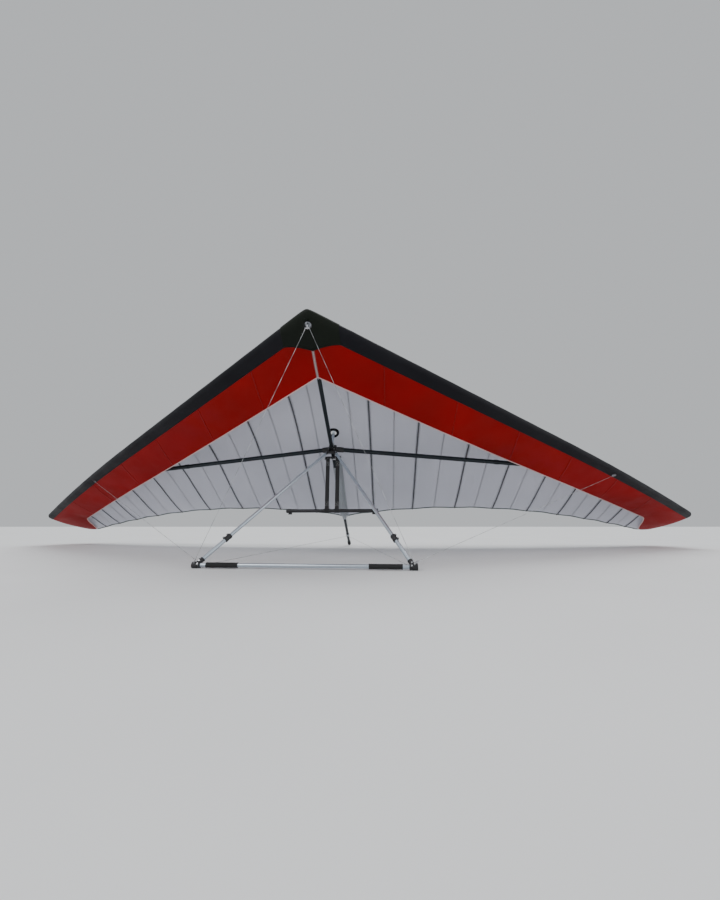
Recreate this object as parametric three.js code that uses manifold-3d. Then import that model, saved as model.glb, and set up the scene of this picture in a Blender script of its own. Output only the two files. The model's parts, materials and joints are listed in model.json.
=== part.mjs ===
// A hang glider of the recreational kind, parked on its base bar and the tail of its keel.
//
// Every size is in millimetres in the keel's own frame: x goes to the pilot's left, y runs back
// from the tip of the nose, and z rises from the axis of the keel tube. The last group turns that
// frame nose up, so that the two ends of the base bar and the tail of the keel stand on z = 0.
import * as THREE from "three";
import { mergeVertices } from "three/addons/utils/BufferGeometryUtils.js";
import Module from "manifold-3d";

const wasm = await Module();
wasm.setup();

const radians = THREE.MathUtils.degToRad;
const lerp = THREE.MathUtils.lerp;
const smoothstep = THREE.MathUtils.smoothstep;
const vec = (x, y, z) => new THREE.Vector3(x, y, z);

// Two pieces that touch keep this much air between them.
const GAP = 0.3;

// Wing plan
const HALF_SPAN = 4920;
const SWEEP = radians(31.5);
const ROOT_TRAIL = 3110;
const TIP_TRAIL = 3975;
const TRAIL_HOLLOW = 280;
const TIP_CORNER = 260;
const TIP_CORNER_DEPTH = 240;

// Leading-edge tubes
const LEAD_Y = 45;
const LEAD_RADIUS = 26;
const LEAD_BEND = 110;
const LEAD_BEND_FROM = 2600;
const LEAD_RISE = 0.022;
const LEAD_START = 43;
const LEAD_END = 4790;

// Sail
const POCKET_RADIUS = 38;
const POCKET_START = 165;
const POCKET_STEPS = 8;
const POCKET_ARC_START = radians(270);
const POCKET_ARC_END = radians(117);
const POCKET_WALL = 4;
const LIP_TOP = [150, 90];
const LIP_BELOW = [115, 65];
const SAIL_THICKNESS = 5;
const UNDER_THICKNESS = 4;
const UNDER_CHORD = [610, 540];
const UNDER_TIP_FROM = 4430;
const UNDER_TIP_TO = 4760;
const CAMBER = [0.082, 0.055];
const TRAIL_LIFT = 38;
const WASHOUT = radians(9.5);
const TIP_RIB = 6;
const UNDER_HEM = 12;
const UNDER_SETBACK = 6;
const UNDER_RISE_POWER = 2.5;
const UNDER_HOLLOW_POWER = 1.3;

// Nose cone and nose plates
const CONE_HALF = 250;
const CONE_PATCH = 190;
const CONE_ROUND = 22;
const CONE_WALL = 5;
const CONE_CLEAR = 0.9;
const PLATE_HALF = 150;
const PLATE_THICKNESS = 5;
const PLATE_WIDE = 36;
const PLATE_TAIL = [38, 205];
const SPACER = { width: 40, depth: 96, y: 100 };
const CATCH_Y = 118;
const CATCH_HOOK = { width: 10, depth: 30, height: 54, sink: 25, yoke: 12 };
const CATCH_HOLE = 30;
const TANG_Y = 74;
const TANG = { width: 8, depth: 18, top: 96 };
const TANG_HOLE = 16;

// Keel, cross-bars and kingpost
const KEEL_RADIUS = 21;
const KEEL_START = 25;
const KEEL_END = 3850;
const CROSS_Y = 1670;
const CROSS_Z = 56;
const CROSS_RADIUS = 26;
const CROSS_END_X = 3450;
const CROSS_START_X = 58;
const CROSS_SHORT = 130;
const BRACKET = { bore: 27, wall: 5, half: 45, tongue: 17, legRoot: 60, leg: 5 };
const JUNCTION = { half: 50, front: 46, rear: 56, bevelX: 14, bevelY: 12, rise: 6, stub: 22 };
const KINGPOST_Y = 1575;
const KINGPOST_TOP = 1250;
const KINGPOST_RADIUS = 16;
const KING_BASE = { width: 46, depth: 44, top: 58 };
const KING_EYE_REACH = 22;
const KING_EYE_RISE = 12;
const KINGPOST_HOLE = 38;

// Control frame
const APEX_Y = 1600;
const APEX_Z = -62;
const APEX_X = 44;
const BAR_Y = 1200;
const BAR_Z = -1590;
const BAR_HALF = 800;
const BAR_RADIUS = 14.5;
const CORNER_RADIUS = 24;
const CORNER_INSIDE = 34;
const CORNER_OUTSIDE = 26;
const DOWNTUBE_RADIUS = 15;
const GRIP_FROM = 480;
const GRIP_TO = 720;
const GRIP_RADIUS = 19;
const COLLAR_AT = 0.84;
const COLLAR_LENGTH = 60;
const COLLAR_WALL = 8;
const SOCKET_RADIUS = 19;
const APEX_STUB = 18;
const APEX_REACH = 42;
const CORNER_REACH = 62;
const SADDLE = { width: 64, depth: 84, height: 60 };
const EYE_LEG = 5;

// Tail cap, which is also the third foot
const CAP_RADIUS = 27;
const CAP_END = 3876;
const CAP_CHAMFER = 9;
const CAP_MOUTH = 3796;

// Hang straps
const HANG_Y = 1730;
const HANG_Z = -52;
const HANG_PIN_RADIUS = 8;
const HANG_DROP = 600;
const STRAP_X = 58;
const STRAP_WIDTH = 46;
const STRAP_THICKNESS = 6;
const SPREADER_HALF = 525;
const SPREADER_RADIUS = 20;
const TAB = { width: 40, depth: 14, height: 24, inset: 45, drop: 8 };
const HANG_BRACKET = { half: 92, depth: 34, top: 10, cheek: 6, cheekDepth: 30 };

// Wires
const WIRE_RADIUS = 1.6;
const EYE_RADIUS = 8;
const TAIL_WIRE_Y = 3560;
const TAIL_BAND = { half: 20, wall: 6 };
const WIRE_HOLE = 26;

// Cloth sleeve over the rear of the keel
const KEEL_POCKET = { from: 1920, to: 3085, side: 6, wall: 3, rows: 7, skirt: -12, flat: 0.62 };

const FINISH = {
  redCloth: [0x9c1016, 0.7, 0],
  whiteCloth: [0xbfc3c6, 0.65, 0],
  blackCloth: [0x17171b, 0.75, 0],
  oliveCloth: [0x20241c, 0.7, 0],
  darkTube: [0x2a2f33, 0.4, 0.6],
  silverTube: [0xb4bcc4, 0.35, 0.9],
  fitting: [0x8f959b, 0.4, 0.9],
  blackPlastic: [0x141416, 0.55, 0],
  webbing: [0x101012, 0.9, 0],
  steelWire: [0x8a8f94, 0.35, 0.9],
};

// Solids

function toSolid(geometry) {
  const bare = geometry.clone();
  bare.deleteAttribute("normal");
  bare.deleteAttribute("uv");
  const merged = mergeVertices(bare, 1e-4);
  return new wasm.Manifold(
    new wasm.Mesh({
      numProp: 3,
      vertProperties: merged.attributes.position.array,
      triVerts: new Uint32Array(merged.index.array),
    }),
  );
}

function toGeometry(solid) {
  const { vertProperties, triVerts } = solid.getMesh();
  const geometry = new THREE.BufferGeometry();
  geometry.setAttribute("position", new THREE.BufferAttribute(vertProperties, 3));
  geometry.setIndex(new THREE.BufferAttribute(triVerts, 1));
  geometry.computeVertexNormals();
  return geometry;
}

const join = (...bodies) => toGeometry(bodies.map(toSolid).reduce((all, body) => all.add(body)));

const cut = (body, ...tools) =>
  toGeometry(tools.map(toSolid).reduce((rest, tool) => rest.subtract(tool), toSolid(body)));

function piece(parent, name, geometry, finish) {
  const [color, roughness, metalness] = FINISH[finish];
  const material = new THREE.MeshStandardMaterial({ color, roughness, metalness });
  const mesh = new THREE.Mesh(geometry, material);
  mesh.name = name;
  parent.add(mesh);
  return mesh;
}

// A closed body between two grids of points with the same rows and columns.
function shell(outer, inner) {
  const rows = outer.length;
  const columns = outer[0].length;
  const points = [...outer.flat(), ...inner.flat()];
  const at = (side, row, column) => (side * rows + row) * columns + column;
  const index = [];
  const quad = (a, b, c, d) => index.push(a, b, c, a, c, d);
  const lastRow = rows - 1;
  const lastColumn = columns - 1;
  for (let r = 0; r < lastRow; r++)
    for (let c = 0; c < lastColumn; c++) {
      quad(at(0, r, c), at(0, r, c + 1), at(0, r + 1, c + 1), at(0, r + 1, c));
      quad(at(1, r, c), at(1, r + 1, c), at(1, r + 1, c + 1), at(1, r, c + 1));
    }
  for (let c = 0; c < lastColumn; c++) {
    quad(at(0, 0, c + 1), at(0, 0, c), at(1, 0, c), at(1, 0, c + 1));
    quad(at(0, lastRow, c), at(0, lastRow, c + 1), at(1, lastRow, c + 1), at(1, lastRow, c));
  }
  for (let r = 0; r < lastRow; r++) {
    quad(at(0, r, 0), at(0, r + 1, 0), at(1, r + 1, 0), at(1, r, 0));
    quad(at(0, r + 1, lastColumn), at(0, r, lastColumn), at(1, r, lastColumn), at(1, r + 1, lastColumn));
  }
  if (enclosed(points, index) < 0) index.reverse();
  const geometry = new THREE.BufferGeometry().setFromPoints(points);
  geometry.setIndex(index);
  geometry.computeVertexNormals();
  return geometry;
}

// The volume that the triangles enclose, negative where they face inwards.
function enclosed(points, index) {
  let total = 0;
  for (let i = 0; i < index.length; i += 3) {
    const [a, b, c] = [points[index[i]], points[index[i + 1]], points[index[i + 2]]];
    total += a.dot(b.clone().cross(c)) / 6;
  }
  return total;
}

// A round bar between two points.
function rod(from, to, radius, sides = 16) {
  const along = to.clone().sub(from);
  const geometry = new THREE.CylinderGeometry(radius, radius, along.length(), sides);
  const turn = new THREE.Quaternion().setFromUnitVectors(vec(0, 1, 0), along.clone().normalize());
  geometry.applyQuaternion(turn);
  geometry.translate(...from.clone().lerp(to, 0.5).toArray());
  return geometry;
}

function block(width, depth, height, centre) {
  return new THREE.BoxGeometry(width, depth, height).translate(...centre.toArray());
}

function ball(centre, radius = EYE_RADIUS) {
  return new THREE.SphereGeometry(radius, 8, 6).translate(...centre.toArray());
}

// A turned piece: pairs of radius and distance along the line from one point towards another.
function turned(profile, from, to, sides = 16) {
  const outline = profile.map(([radius, along]) => new THREE.Vector2(radius, along));
  const geometry = new THREE.LatheGeometry(outline, sides);
  const axis = to.clone().sub(from).normalize();
  geometry.applyQuaternion(new THREE.Quaternion().setFromUnitVectors(vec(0, 1, 0), axis));
  geometry.translate(...from.toArray());
  return geometry;
}

// A sleeve around a bar, open at both ends. Its flats, not its corners, stand clear of the bar.
function sleeve(from, to, inner, outer, sides = 16) {
  const length = from.distanceTo(to);
  const corner = inner / Math.cos(Math.PI / sides);
  const ring = [
    [corner, 0],
    [outer, 0],
    [outer, length],
    [corner, length],
    [corner, 0],
  ];
  return turned(ring, from, to, sides);
}

// A flat plate of a given outline in plan, from one height up to another.
function plate(corners, low, high) {
  const outline = new THREE.Shape(corners.map(([x, y]) => new THREE.Vector2(x, y)));
  const options = { depth: high - low, bevelEnabled: false };
  return new THREE.ExtrudeGeometry(outline, options).translate(0, 0, low);
}

// The wing's surfaces

const share = (x) => x / HALF_SPAN;
const leadBend = (x) => Math.max(0, (x - LEAD_BEND_FROM) / (HALF_SPAN - LEAD_BEND_FROM)) ** 2;
const leadY = (x) => LEAD_Y + Math.tan(SWEEP) * x + LEAD_BEND * leadBend(x);
const leadZ = (x) => LEAD_RISE * x;
const arcEndY = (x) => leadY(x) + (POCKET_RADIUS * Math.cos(POCKET_ARC_END)) / Math.cos(SWEEP);

function trailY(x) {
  const s = share(x);
  const corner = Math.max(0, (x - (HALF_SPAN - TIP_CORNER)) / TIP_CORNER);
  const hollow = TRAIL_HOLLOW * Math.sin(Math.PI * s);
  return lerp(ROOT_TRAIL, TIP_TRAIL, s) - hollow - TIP_CORNER_DEPTH * (1 - Math.sqrt(1 - corner ** 2));
}

// Upper face of the main sail. Its arch, t (1 - t) squared, is scaled to a height of one.
const ARCH_PEAK = 27 / 4;

function topZ(x, y) {
  const s = share(x);
  const start = arcEndY(x);
  const chord = trailY(x) - start;
  const t = (y - start) / chord;
  const nose = POCKET_RADIUS * Math.sin(POCKET_ARC_END) * (1 - t) ** 2;
  const arch = lerp(...CAMBER, s) * chord * ARCH_PEAK * t * (1 - t) ** 2;
  const twist = Math.tan(WASHOUT * s ** 0.8) * (y - start);
  return leadZ(x) + nose + arch + TRAIL_LIFT * t + twist;
}

// Rear edge of the undersurface, which reaches the trailing edge at the tip.
function underTrailY(x) {
  const strip = leadY(x) + lerp(...UNDER_CHORD, share(x)) - POCKET_RADIUS;
  return lerp(strip, trailY(x) - UNDER_HEM, smoothstep(x, UNDER_TIP_FROM, UNDER_TIP_TO));
}

// Lower face of the undersurface.
function underZ(x, y) {
  const front = leadZ(x) - POCKET_RADIUS;
  const sails = SAIL_THICKNESS + UNDER_THICKNESS + UNDER_SETBACK;
  const tipRear = topZ(HALF_SPAN, underTrailY(HALF_SPAN)) - sails;
  const rear = lerp(-POCKET_RADIUS, tipRear, share(x) ** UNDER_RISE_POWER);
  const t = (y - leadY(x)) / (underTrailY(x) - leadY(x));
  return lerp(front, rear, Math.max(0, t) ** UNDER_HOLLOW_POWER);
}

// Span stations and chord shares of the sail's grids.
const NOSE_STATIONS = [0, 30, 80, 165, 250];
const SPAN_STATIONS = [600, 1050, 1550, 2100, 2600, 3100, 3550, 4000, 4350, 4600, 4760, 4860, HALF_SPAN];
const CHORD_SHARES = [0, 0.04, 0.1, 0.17, 0.25, 0.34, 0.45, 0.57, 0.7, 0.84, 1];
const UNDER_SHARES = [0, 0.25, 0.5, 0.75, 1];
const SEAM = GAP / 2;

function sheetSolid(shares, frontY, rearY, upperZ, lowerZ) {
  const grid = (height) =>
    [...NOSE_STATIONS, ...SPAN_STATIONS].map((x) =>
      shares.map((t) => {
        const y = lerp(frontY(x), rearY(x), t);
        return vec(Math.max(x, SEAM), y, height(x, y));
      }),
    );
  return shell(grid(upperZ), grid(lowerZ));
}

const lipTopY = (x) => arcEndY(x) + lerp(...LIP_TOP, share(x));
const lipBelowY = (x) => leadY(x) + lerp(...LIP_BELOW, share(x));
const coneBelowY = (x) => lipBelowY(x) + CONE_PATCH * Math.max(0, 1 - (x / CONE_HALF) ** 2);

function upperSail() {
  const front = (x) => lipTopY(x) + GAP;
  const lower = (x, y) => topZ(x, y) - SAIL_THICKNESS;
  return sheetSolid(CHORD_SHARES, front, trailY, topZ, lower);
}

// The undersurface ends in a rib that closes the wing tip.
function lowerSail() {
  const front = (x) => coneBelowY(x) + GAP;
  const upper = (x, y) => underZ(x, y) + UNDER_THICKNESS;
  const sheet = sheetSolid(UNDER_SHARES, front, underTrailY, upper, underZ);
  const ribStart = lipTopY(HALF_SPAN) + 2 * GAP;
  const ribGrid = (height) =>
    [HALF_SPAN - TIP_RIB, HALF_SPAN].map((x) =>
      CHORD_SHARES.map((t) => {
        const y = lerp(ribStart, underTrailY(HALF_SPAN), t);
        return vec(x, y, height(HALF_SPAN, y));
      }),
    );
  const roof = (x, y) => topZ(x, y) - SAIL_THICKNESS - UNDER_SETBACK / 3;
  return join(sheet, shell(ribGrid(roof), ribGrid(underZ)));
}

// Points of the cloth that wraps the leading-edge tube, standing off by some amount.
function wrapSection(x, off, topEnd, belowEnd, xs = x) {
  const points = [];
  const centreY = leadY(x);
  const below = [1, 0.5];
  for (const t of below) {
    const y = lerp(centreY, belowEnd, t);
    points.push(vec(xs, y, underZ(x, y) - off));
  }
  const radius = POCKET_RADIUS + off;
  for (let i = 0; i <= POCKET_STEPS; i++) {
    const angle = lerp(POCKET_ARC_START, POCKET_ARC_END, i / POCKET_STEPS);
    const y = centreY + (radius * Math.cos(angle)) / Math.cos(SWEEP);
    points.push(vec(xs, y, leadZ(x) + radius * Math.sin(angle)));
  }
  const above = [0.33, 0.67, 1];
  for (const t of above) {
    const y = lerp(arcEndY(x), topEnd, t);
    points.push(vec(xs, y, topZ(x, y) + off));
  }
  return points;
}

// The cloth around the tube, closed by an end rib at the tip.
function leadingPocket() {
  const stations = [POCKET_START, CONE_HALF, ...SPAN_STATIONS];
  const wrap = (off) => stations.map((x) => wrapSection(x, off, lipTopY(x), lipBelowY(x)));
  const inboard = HALF_SPAN - TIP_RIB;
  const end = wrapSection(HALF_SPAN, 0, lipTopY(inboard), lipBelowY(inboard));
  const outline = new THREE.Shape(end.map((point) => new THREE.Vector2(point.y, point.z)));
  const rib = new THREE.ExtrudeGeometry(outline, { depth: TIP_RIB, bevelEnabled: false });
  const upright = new THREE.Matrix4().makeBasis(vec(0, 1, 0), vec(0, 0, 1), vec(1, 0, 0));
  rib.applyMatrix4(upright).translate(inboard, 0, 0);
  return join(shell(wrap(0), wrap(-POCKET_WALL)), rib);
}

// The nose cone wraps both pockets, the nose plates and the front of the sail.
function noseCone() {
  const sides = [...NOSE_STATIONS.slice(1).reverse().map((x) => -x), ...NOSE_STATIONS];
  const wrap = (off) =>
    sides.map((side) => {
      const x = Math.hypot(side, CONE_ROUND);
      const [above, below] = [lipTopY, coneBelowY].map((edge) => edge(Math.abs(side)) - GAP);
      return wrapSection(x, off, above, below, side);
    });
  const cone = shell(wrap(CONE_CLEAR + CONE_WALL), wrap(CONE_CLEAR));
  const catchHole = rod(vec(0, CATCH_Y, -120), vec(0, CATCH_Y, -10), CATCH_HOLE);
  const tangHole = rod(vec(0, TANG_Y, KEEL_RADIUS), vec(0, TANG_Y, 160), TANG_HOLE);
  return cut(cone, catchHole, tangHole);
}

// Tubes

class LeadAxis extends THREE.Curve {
  getPoint(t) {
    const x = lerp(LEAD_START, LEAD_END, t);
    return vec(x, leadY(x), leadZ(x));
  }
}

function leadingTube() {
  const circle = new THREE.Shape().absarc(0, 0, LEAD_RADIUS, 0, 2 * Math.PI);
  const path = new LeadAxis();
  return new THREE.ExtrudeGeometry(circle, { steps: 14, curveSegments: 8, extrudePath: path });
}

function keelTube() {
  const tube = rod(vec(0, KEEL_START, 0), vec(0, KEEL_END, 0), KEEL_RADIUS);
  const between = NOSE_PLATE_TOP - NOSE_PLATE_BELOW - 2 * GAP;
  const spacer = block(SPACER.width, SPACER.depth, between, vec(0, SPACER.y, noseMiddle));
  return join(tube, spacer);
}

const leadPoint = (x) => vec(x, leadY(x), leadZ(x));

// Nose plates above and below the three tubes.
const NOSE_PLATE_TOP = LEAD_RADIUS + LEAD_RISE * PLATE_HALF + 2 * GAP;
const NOSE_PLATE_BELOW = -(LEAD_RADIUS + GAP - LEAD_RISE * 25);
const noseMiddle = (NOSE_PLATE_TOP + NOSE_PLATE_BELOW) / 2;
const PLATE_OUTLINE = [
  [0, LEAD_Y + 6],
  [PLATE_HALF, leadY(PLATE_HALF)],
  [PLATE_HALF - 4, leadY(PLATE_HALF) + PLATE_WIDE],
  PLATE_TAIL,
  [-PLATE_TAIL[0], PLATE_TAIL[1]],
  [-PLATE_HALF + 4, leadY(PLATE_HALF) + PLATE_WIDE],
  [-PLATE_HALF, leadY(PLATE_HALF)],
];
const FRONT_WIRE_EYE = vec(0, TANG_Y, TANG.top);
const CATCH_EYE = vec(16, CATCH_Y + 8, -84);

function nosePlateTop() {
  const sheet = plate(PLATE_OUTLINE, NOSE_PLATE_TOP, NOSE_PLATE_TOP + PLATE_THICKNESS);
  const height = FRONT_WIRE_EYE.z - NOSE_PLATE_TOP;
  const middle = vec(0, TANG_Y, NOSE_PLATE_TOP + height / 2);
  const tang = block(TANG.width, TANG.depth, height, middle);
  return join(sheet, tang, ball(FRONT_WIRE_EYE));
}

function nosePlateBelow() {
  const low = NOSE_PLATE_BELOW - PLATE_THICKNESS;
  const sheet = plate(PLATE_OUTLINE, low, NOSE_PLATE_BELOW);
  const { width, depth, height, sink, yoke } = CATCH_HOOK;
  const hook = block(width, depth, height, vec(0, CATCH_Y, low - sink));
  const bridge = block(2 * CATCH_EYE.x, yoke, yoke, vec(0, CATCH_EYE.y, CATCH_EYE.z));
  const eyes = [-1, 1].map((side) => ball(vec(side * CATCH_EYE.x, CATCH_EYE.y, CATCH_EYE.z)));
  return join(sheet, hook, bridge, ...eyes);
}

// Cross-bar ends, carried by a bracket on the leading-edge tube.
const CROSS_END = leadPoint(CROSS_END_X);
const crossStart = vec(CROSS_START_X, CROSS_Y + 8, CROSS_Z);
const crossInward = crossStart.clone().sub(CROSS_END).normalize();
const crossStop = CROSS_END.clone().addScaledVector(crossInward, CROSS_SHORT);
const SIDE_EYE_BELOW = CROSS_END.clone().add(vec(-34, 24, -38));
const SIDE_EYE_ABOVE = CROSS_END.clone().add(vec(-34, 14, 88));

function crossBracket() {
  const along = leadPoint(CROSS_END_X + 1).sub(CROSS_END).normalize();
  const at = (distance) => CROSS_END.clone().addScaledVector(along, distance);
  const inward = (distance) => CROSS_END.clone().addScaledVector(crossInward, distance);
  const clamp = rod(at(-BRACKET.half), at(BRACKET.half), BRACKET.bore + BRACKET.wall);
  const tongue = rod(inward(LEAD_RADIUS), inward(CROSS_SHORT - GAP), BRACKET.tongue, 12);
  const root = inward(BRACKET.legRoot);
  const eyes = [SIDE_EYE_BELOW, SIDE_EYE_ABOVE];
  const legs = eyes.map((eye) => rod(root, eye, BRACKET.leg, 6));
  const body = join(clamp, tongue, ...legs, ...eyes.map((eye) => ball(eye)));
  return cut(body, rod(at(-CROSS_SHORT), at(CROSS_SHORT), BRACKET.bore));
}

// The padded junction where the two cross-bars meet above the keel.
function crossJunction() {
  const low = KEEL_RADIUS + GAP;
  const { half, front, rear, bevelX, bevelY, rise, stub } = JUNCTION;
  const high = CROSS_Z + CROSS_RADIUS + rise;
  const outline = [
    [-half, bevelY - front],
    [bevelX - half, -front],
    [half - bevelX, -front],
    [half, bevelY - front],
    [half, rear - bevelY],
    [half - bevelX, rear],
    [bevelX - half, rear],
    [-half, rear - bevelY],
  ].map(([x, y]) => [x, y + CROSS_Y]);
  const body = plate(outline, low, high);
  const inward = (distance, side) => {
    const point = crossStart.clone().addScaledVector(crossInward, distance);
    return vec(side * point.x, point.y, point.z);
  };
  const stubs = [-1, 1].map((side) => rod(inward(half, side), inward(GAP, side), stub));
  return join(body, ...stubs);
}

// Kingpost
const KING_EYES = {
  side: vec(KING_EYE_REACH, KINGPOST_Y, KINGPOST_TOP + KING_EYE_RISE),
  front: vec(0, KINGPOST_Y - KING_EYE_REACH, KINGPOST_TOP + KING_EYE_RISE),
  rear: vec(0, KINGPOST_Y + KING_EYE_REACH, KINGPOST_TOP + KING_EYE_RISE),
};

function kingBase() {
  const low = KEEL_RADIUS + GAP;
  const { width, depth, top } = KING_BASE;
  return block(width, depth, top - low, vec(0, KINGPOST_Y, (low + top) / 2));
}

function kingCap() {
  const low = KINGPOST_TOP + GAP;
  const profile = [
    [0, 0],
    [20, 0],
    [20, 20],
    [12, 30],
    [0, 32],
  ];
  const cap = turned(profile, vec(0, KINGPOST_Y, low), vec(0, KINGPOST_Y, low + 1), 12);
  const eyes = [
    KING_EYES.side,
    vec(-KING_EYES.side.x, KING_EYES.side.y, KING_EYES.side.z),
    KING_EYES.front,
    KING_EYES.rear,
  ].map((eye) => ball(eye));
  return join(cap, ...eyes);
}

// Control frame
const APEX = vec(APEX_X, APEX_Y, APEX_Z);
const CORNER = vec(BAR_HALF, BAR_Y, BAR_Z);
const downAlong = CORNER.clone().sub(APEX).normalize();
const downStart = APEX.clone().addScaledVector(downAlong, APEX_REACH);
const downStop = CORNER.clone().addScaledVector(downAlong, -CORNER_REACH);
const CORNER_EYES = {
  side: CORNER.clone().add(vec(24, 4, 40)),
  front: CORNER.clone().add(vec(2, -36, 6)),
  rear: CORNER.clone().add(vec(2, 38, 8)),
};

function apexBracket() {
  const top = -KEEL_RADIUS - GAP;
  const saddle = block(SADDLE.width, SADDLE.depth, SADDLE.height, vec(0, APEX_Y, top - SADDLE.height / 2));
  const pinEnd = vec(APEX_X + 4, APEX_Y, APEX_Z);
  const crossPin = rod(vec(-pinEnd.x, pinEnd.y, pinEnd.z), pinEnd, SOCKET_RADIUS);
  const stubs = [-1, 1].map((side) => {
    const mirror = (p) => vec(side * p.x, p.y, p.z);
    return rod(mirror(APEX), mirror(downStart.clone().addScaledVector(downAlong, -GAP)), APEX_STUB);
  });
  return join(saddle, crossPin, ...stubs);
}

function cornerBracket() {
  const inside = vec(BAR_HALF - CORNER_INSIDE, BAR_Y, BAR_Z);
  const outside = vec(BAR_HALF + CORNER_OUTSIDE, BAR_Y, BAR_Z);
  const foot = rod(inside, outside, CORNER_RADIUS, 24);
  const socket = rod(CORNER, downStop.clone().addScaledVector(downAlong, GAP), SOCKET_RADIUS);
  const places = Object.values(CORNER_EYES);
  const legs = places.map((eye) => rod(CORNER, eye, EYE_LEG, 6));
  const eyes = places.map((eye) => ball(eye));
  return join(foot, socket, ...legs, ...eyes);
}

function collar() {
  const from = downStart.clone().lerp(downStop, COLLAR_AT);
  const to = from.clone().addScaledVector(downAlong, COLLAR_LENGTH);
  return sleeve(from, to, DOWNTUBE_RADIUS + GAP, DOWNTUBE_RADIUS + COLLAR_WALL);
}

function grip() {
  const from = vec(GRIP_FROM, BAR_Y, BAR_Z);
  const to = vec(GRIP_TO, BAR_Y, BAR_Z);
  return sleeve(from, to, BAR_RADIUS + GAP, GRIP_RADIUS);
}

// Keel fittings
const REAR_WIRE_EYE = vec(14, TAIL_WIRE_Y, -KEEL_RADIUS - 16);
const KING_REAR_EYE = vec(0, TAIL_WIRE_Y, KEEL_RADIUS + 18);

function tailFitting() {
  const at = (along) => vec(0, TAIL_WIRE_Y + along, 0);
  const { half, wall } = TAIL_BAND;
  const band = sleeve(at(-half), at(half), KEEL_RADIUS + GAP, KEEL_RADIUS + wall);
  const eyes = [REAR_WIRE_EYE, vec(-REAR_WIRE_EYE.x, REAR_WIRE_EYE.y, REAR_WIRE_EYE.z), KING_REAR_EYE];
  const legs = eyes.map((eye) => rod(vec(0, TAIL_WIRE_Y, eye.z * 0.6), eye, EYE_LEG, 6));
  const bore = rod(at(-2 * half), at(2 * half), KEEL_RADIUS + GAP);
  return cut(join(band, ...legs, ...eyes.map((eye) => ball(eye))), bore);
}

function tailCap() {
  const bore = KEEL_RADIUS + GAP;
  const bottom = KEEL_END + GAP - CAP_MOUTH;
  const length = CAP_END - CAP_MOUTH;
  const profile = [
    [0, bottom],
    [bore, bottom],
    [bore, 0],
    [CAP_RADIUS, 0],
    [CAP_RADIUS, length - CAP_CHAMFER],
    [CAP_RADIUS - CAP_CHAMFER, length],
    [0, length],
  ];
  return turned(profile, vec(0, CAP_MOUTH, 0), vec(0, CAP_MOUTH + 1, 0));
}

// The cloth sleeve that joins the keel to the middle of the sail.
function keelPocket() {
  const { from, to, side, wall, rows, skirt, flat } = KEEL_POCKET;
  const section = (y, off) => {
    const top = topZ(0, y) - SAIL_THICKNESS - GAP;
    const bottom = -KEEL_RADIUS - GAP - off;
    const w = KEEL_RADIUS + side + off;
    const low = [
      [w, skirt],
      [w * flat, bottom],
      [-w * flat, bottom],
      [-w, skirt],
    ];
    return [vec(w, y, top), ...low.map(([x, z]) => vec(x, y, z)), vec(-w, y, top)];
  };
  const stations = Array.from({ length: rows }, (_, i) => lerp(from, to, i / (rows - 1)));
  const grid = (off) => stations.map((y) => section(y, off));
  return shell(grid(wall), grid(0));
}

// Hang straps, built hanging straight down from the pin at the group's own origin.
function hangBracket() {
  const high = -KEEL_RADIUS - GAP;
  const { half, depth, top, cheek, cheekDepth } = HANG_BRACKET;
  const yoke = block(2 * half, depth, top, vec(0, HANG_Y, high - top / 2));
  const low = HANG_Z - top;
  const cheeks = [-1, 0, 1].map((side) => {
    const centre = vec(side * (half - cheek / 2), HANG_Y, (high + low) / 2);
    return block(cheek, cheekDepth, high - low, centre);
  });
  const pin = rod(vec(-half, HANG_Y, HANG_Z), vec(half, HANG_Y, HANG_Z), HANG_PIN_RADIUS);
  return join(yoke, ...cheeks, pin);
}

function hangStrap() {
  const half = vec(STRAP_WIDTH / 2, 0, 0);
  const loop = (z, radius) => {
    const centre = vec(STRAP_X, 0, z);
    return sleeve(
      centre.clone().sub(half),
      centre.clone().add(half),
      radius + GAP,
      radius + GAP + STRAP_THICKNESS / 2,
      20,
    );
  };
  const top = -HANG_PIN_RADIUS - GAP - 1;
  const bottom = -HANG_DROP + SPREADER_RADIUS + GAP + 1;
  const web = block(STRAP_WIDTH, STRAP_THICKNESS, top - bottom, vec(STRAP_X, 0, (top + bottom) / 2));
  return join(web, loop(0, HANG_PIN_RADIUS), loop(-HANG_DROP, SPREADER_RADIUS));
}

function spreaderBar() {
  const end = vec(SPREADER_HALF, 0, -HANG_DROP);
  const bar = rod(vec(-end.x, end.y, end.z), end, SPREADER_RADIUS);
  const tabZ = end.z - SPREADER_RADIUS - TAB.drop;
  const tabs = [-1, 1].map((side) =>
    block(TAB.width, TAB.depth, TAB.height, vec(side * (end.x - TAB.inset), 0, tabZ)),
  );
  return join(bar, ...tabs);
}

// Taut wires between two eyes.
function wire(from, to) {
  const along = to.clone().sub(from).normalize();
  const start = from.clone().addScaledVector(along, EYE_RADIUS + GAP);
  const stop = to.clone().addScaledVector(along, -EYE_RADIUS - GAP);
  return rod(start, stop, WIRE_RADIUS, 6);
}

// Cuts that let the kingpost and the side wires pass through the cloth.
const kingpostHole = () =>
  rod(vec(0, KINGPOST_Y, 100), vec(0, KINGPOST_Y, 340), KINGPOST_HOLE, 12);

function sideWireHoles() {
  const lift = (eye, height) => vec(eye.x, eye.y, eye.z + height);
  const below = rod(lift(SIDE_EYE_BELOW, -60), lift(SIDE_EYE_BELOW, 24), WIRE_HOLE, 12);
  const above = rod(lift(SIDE_EYE_ABOVE, -58), lift(SIDE_EYE_ABOVE, 40), WIRE_HOLE, 12);
  return [below, above];
}

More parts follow.
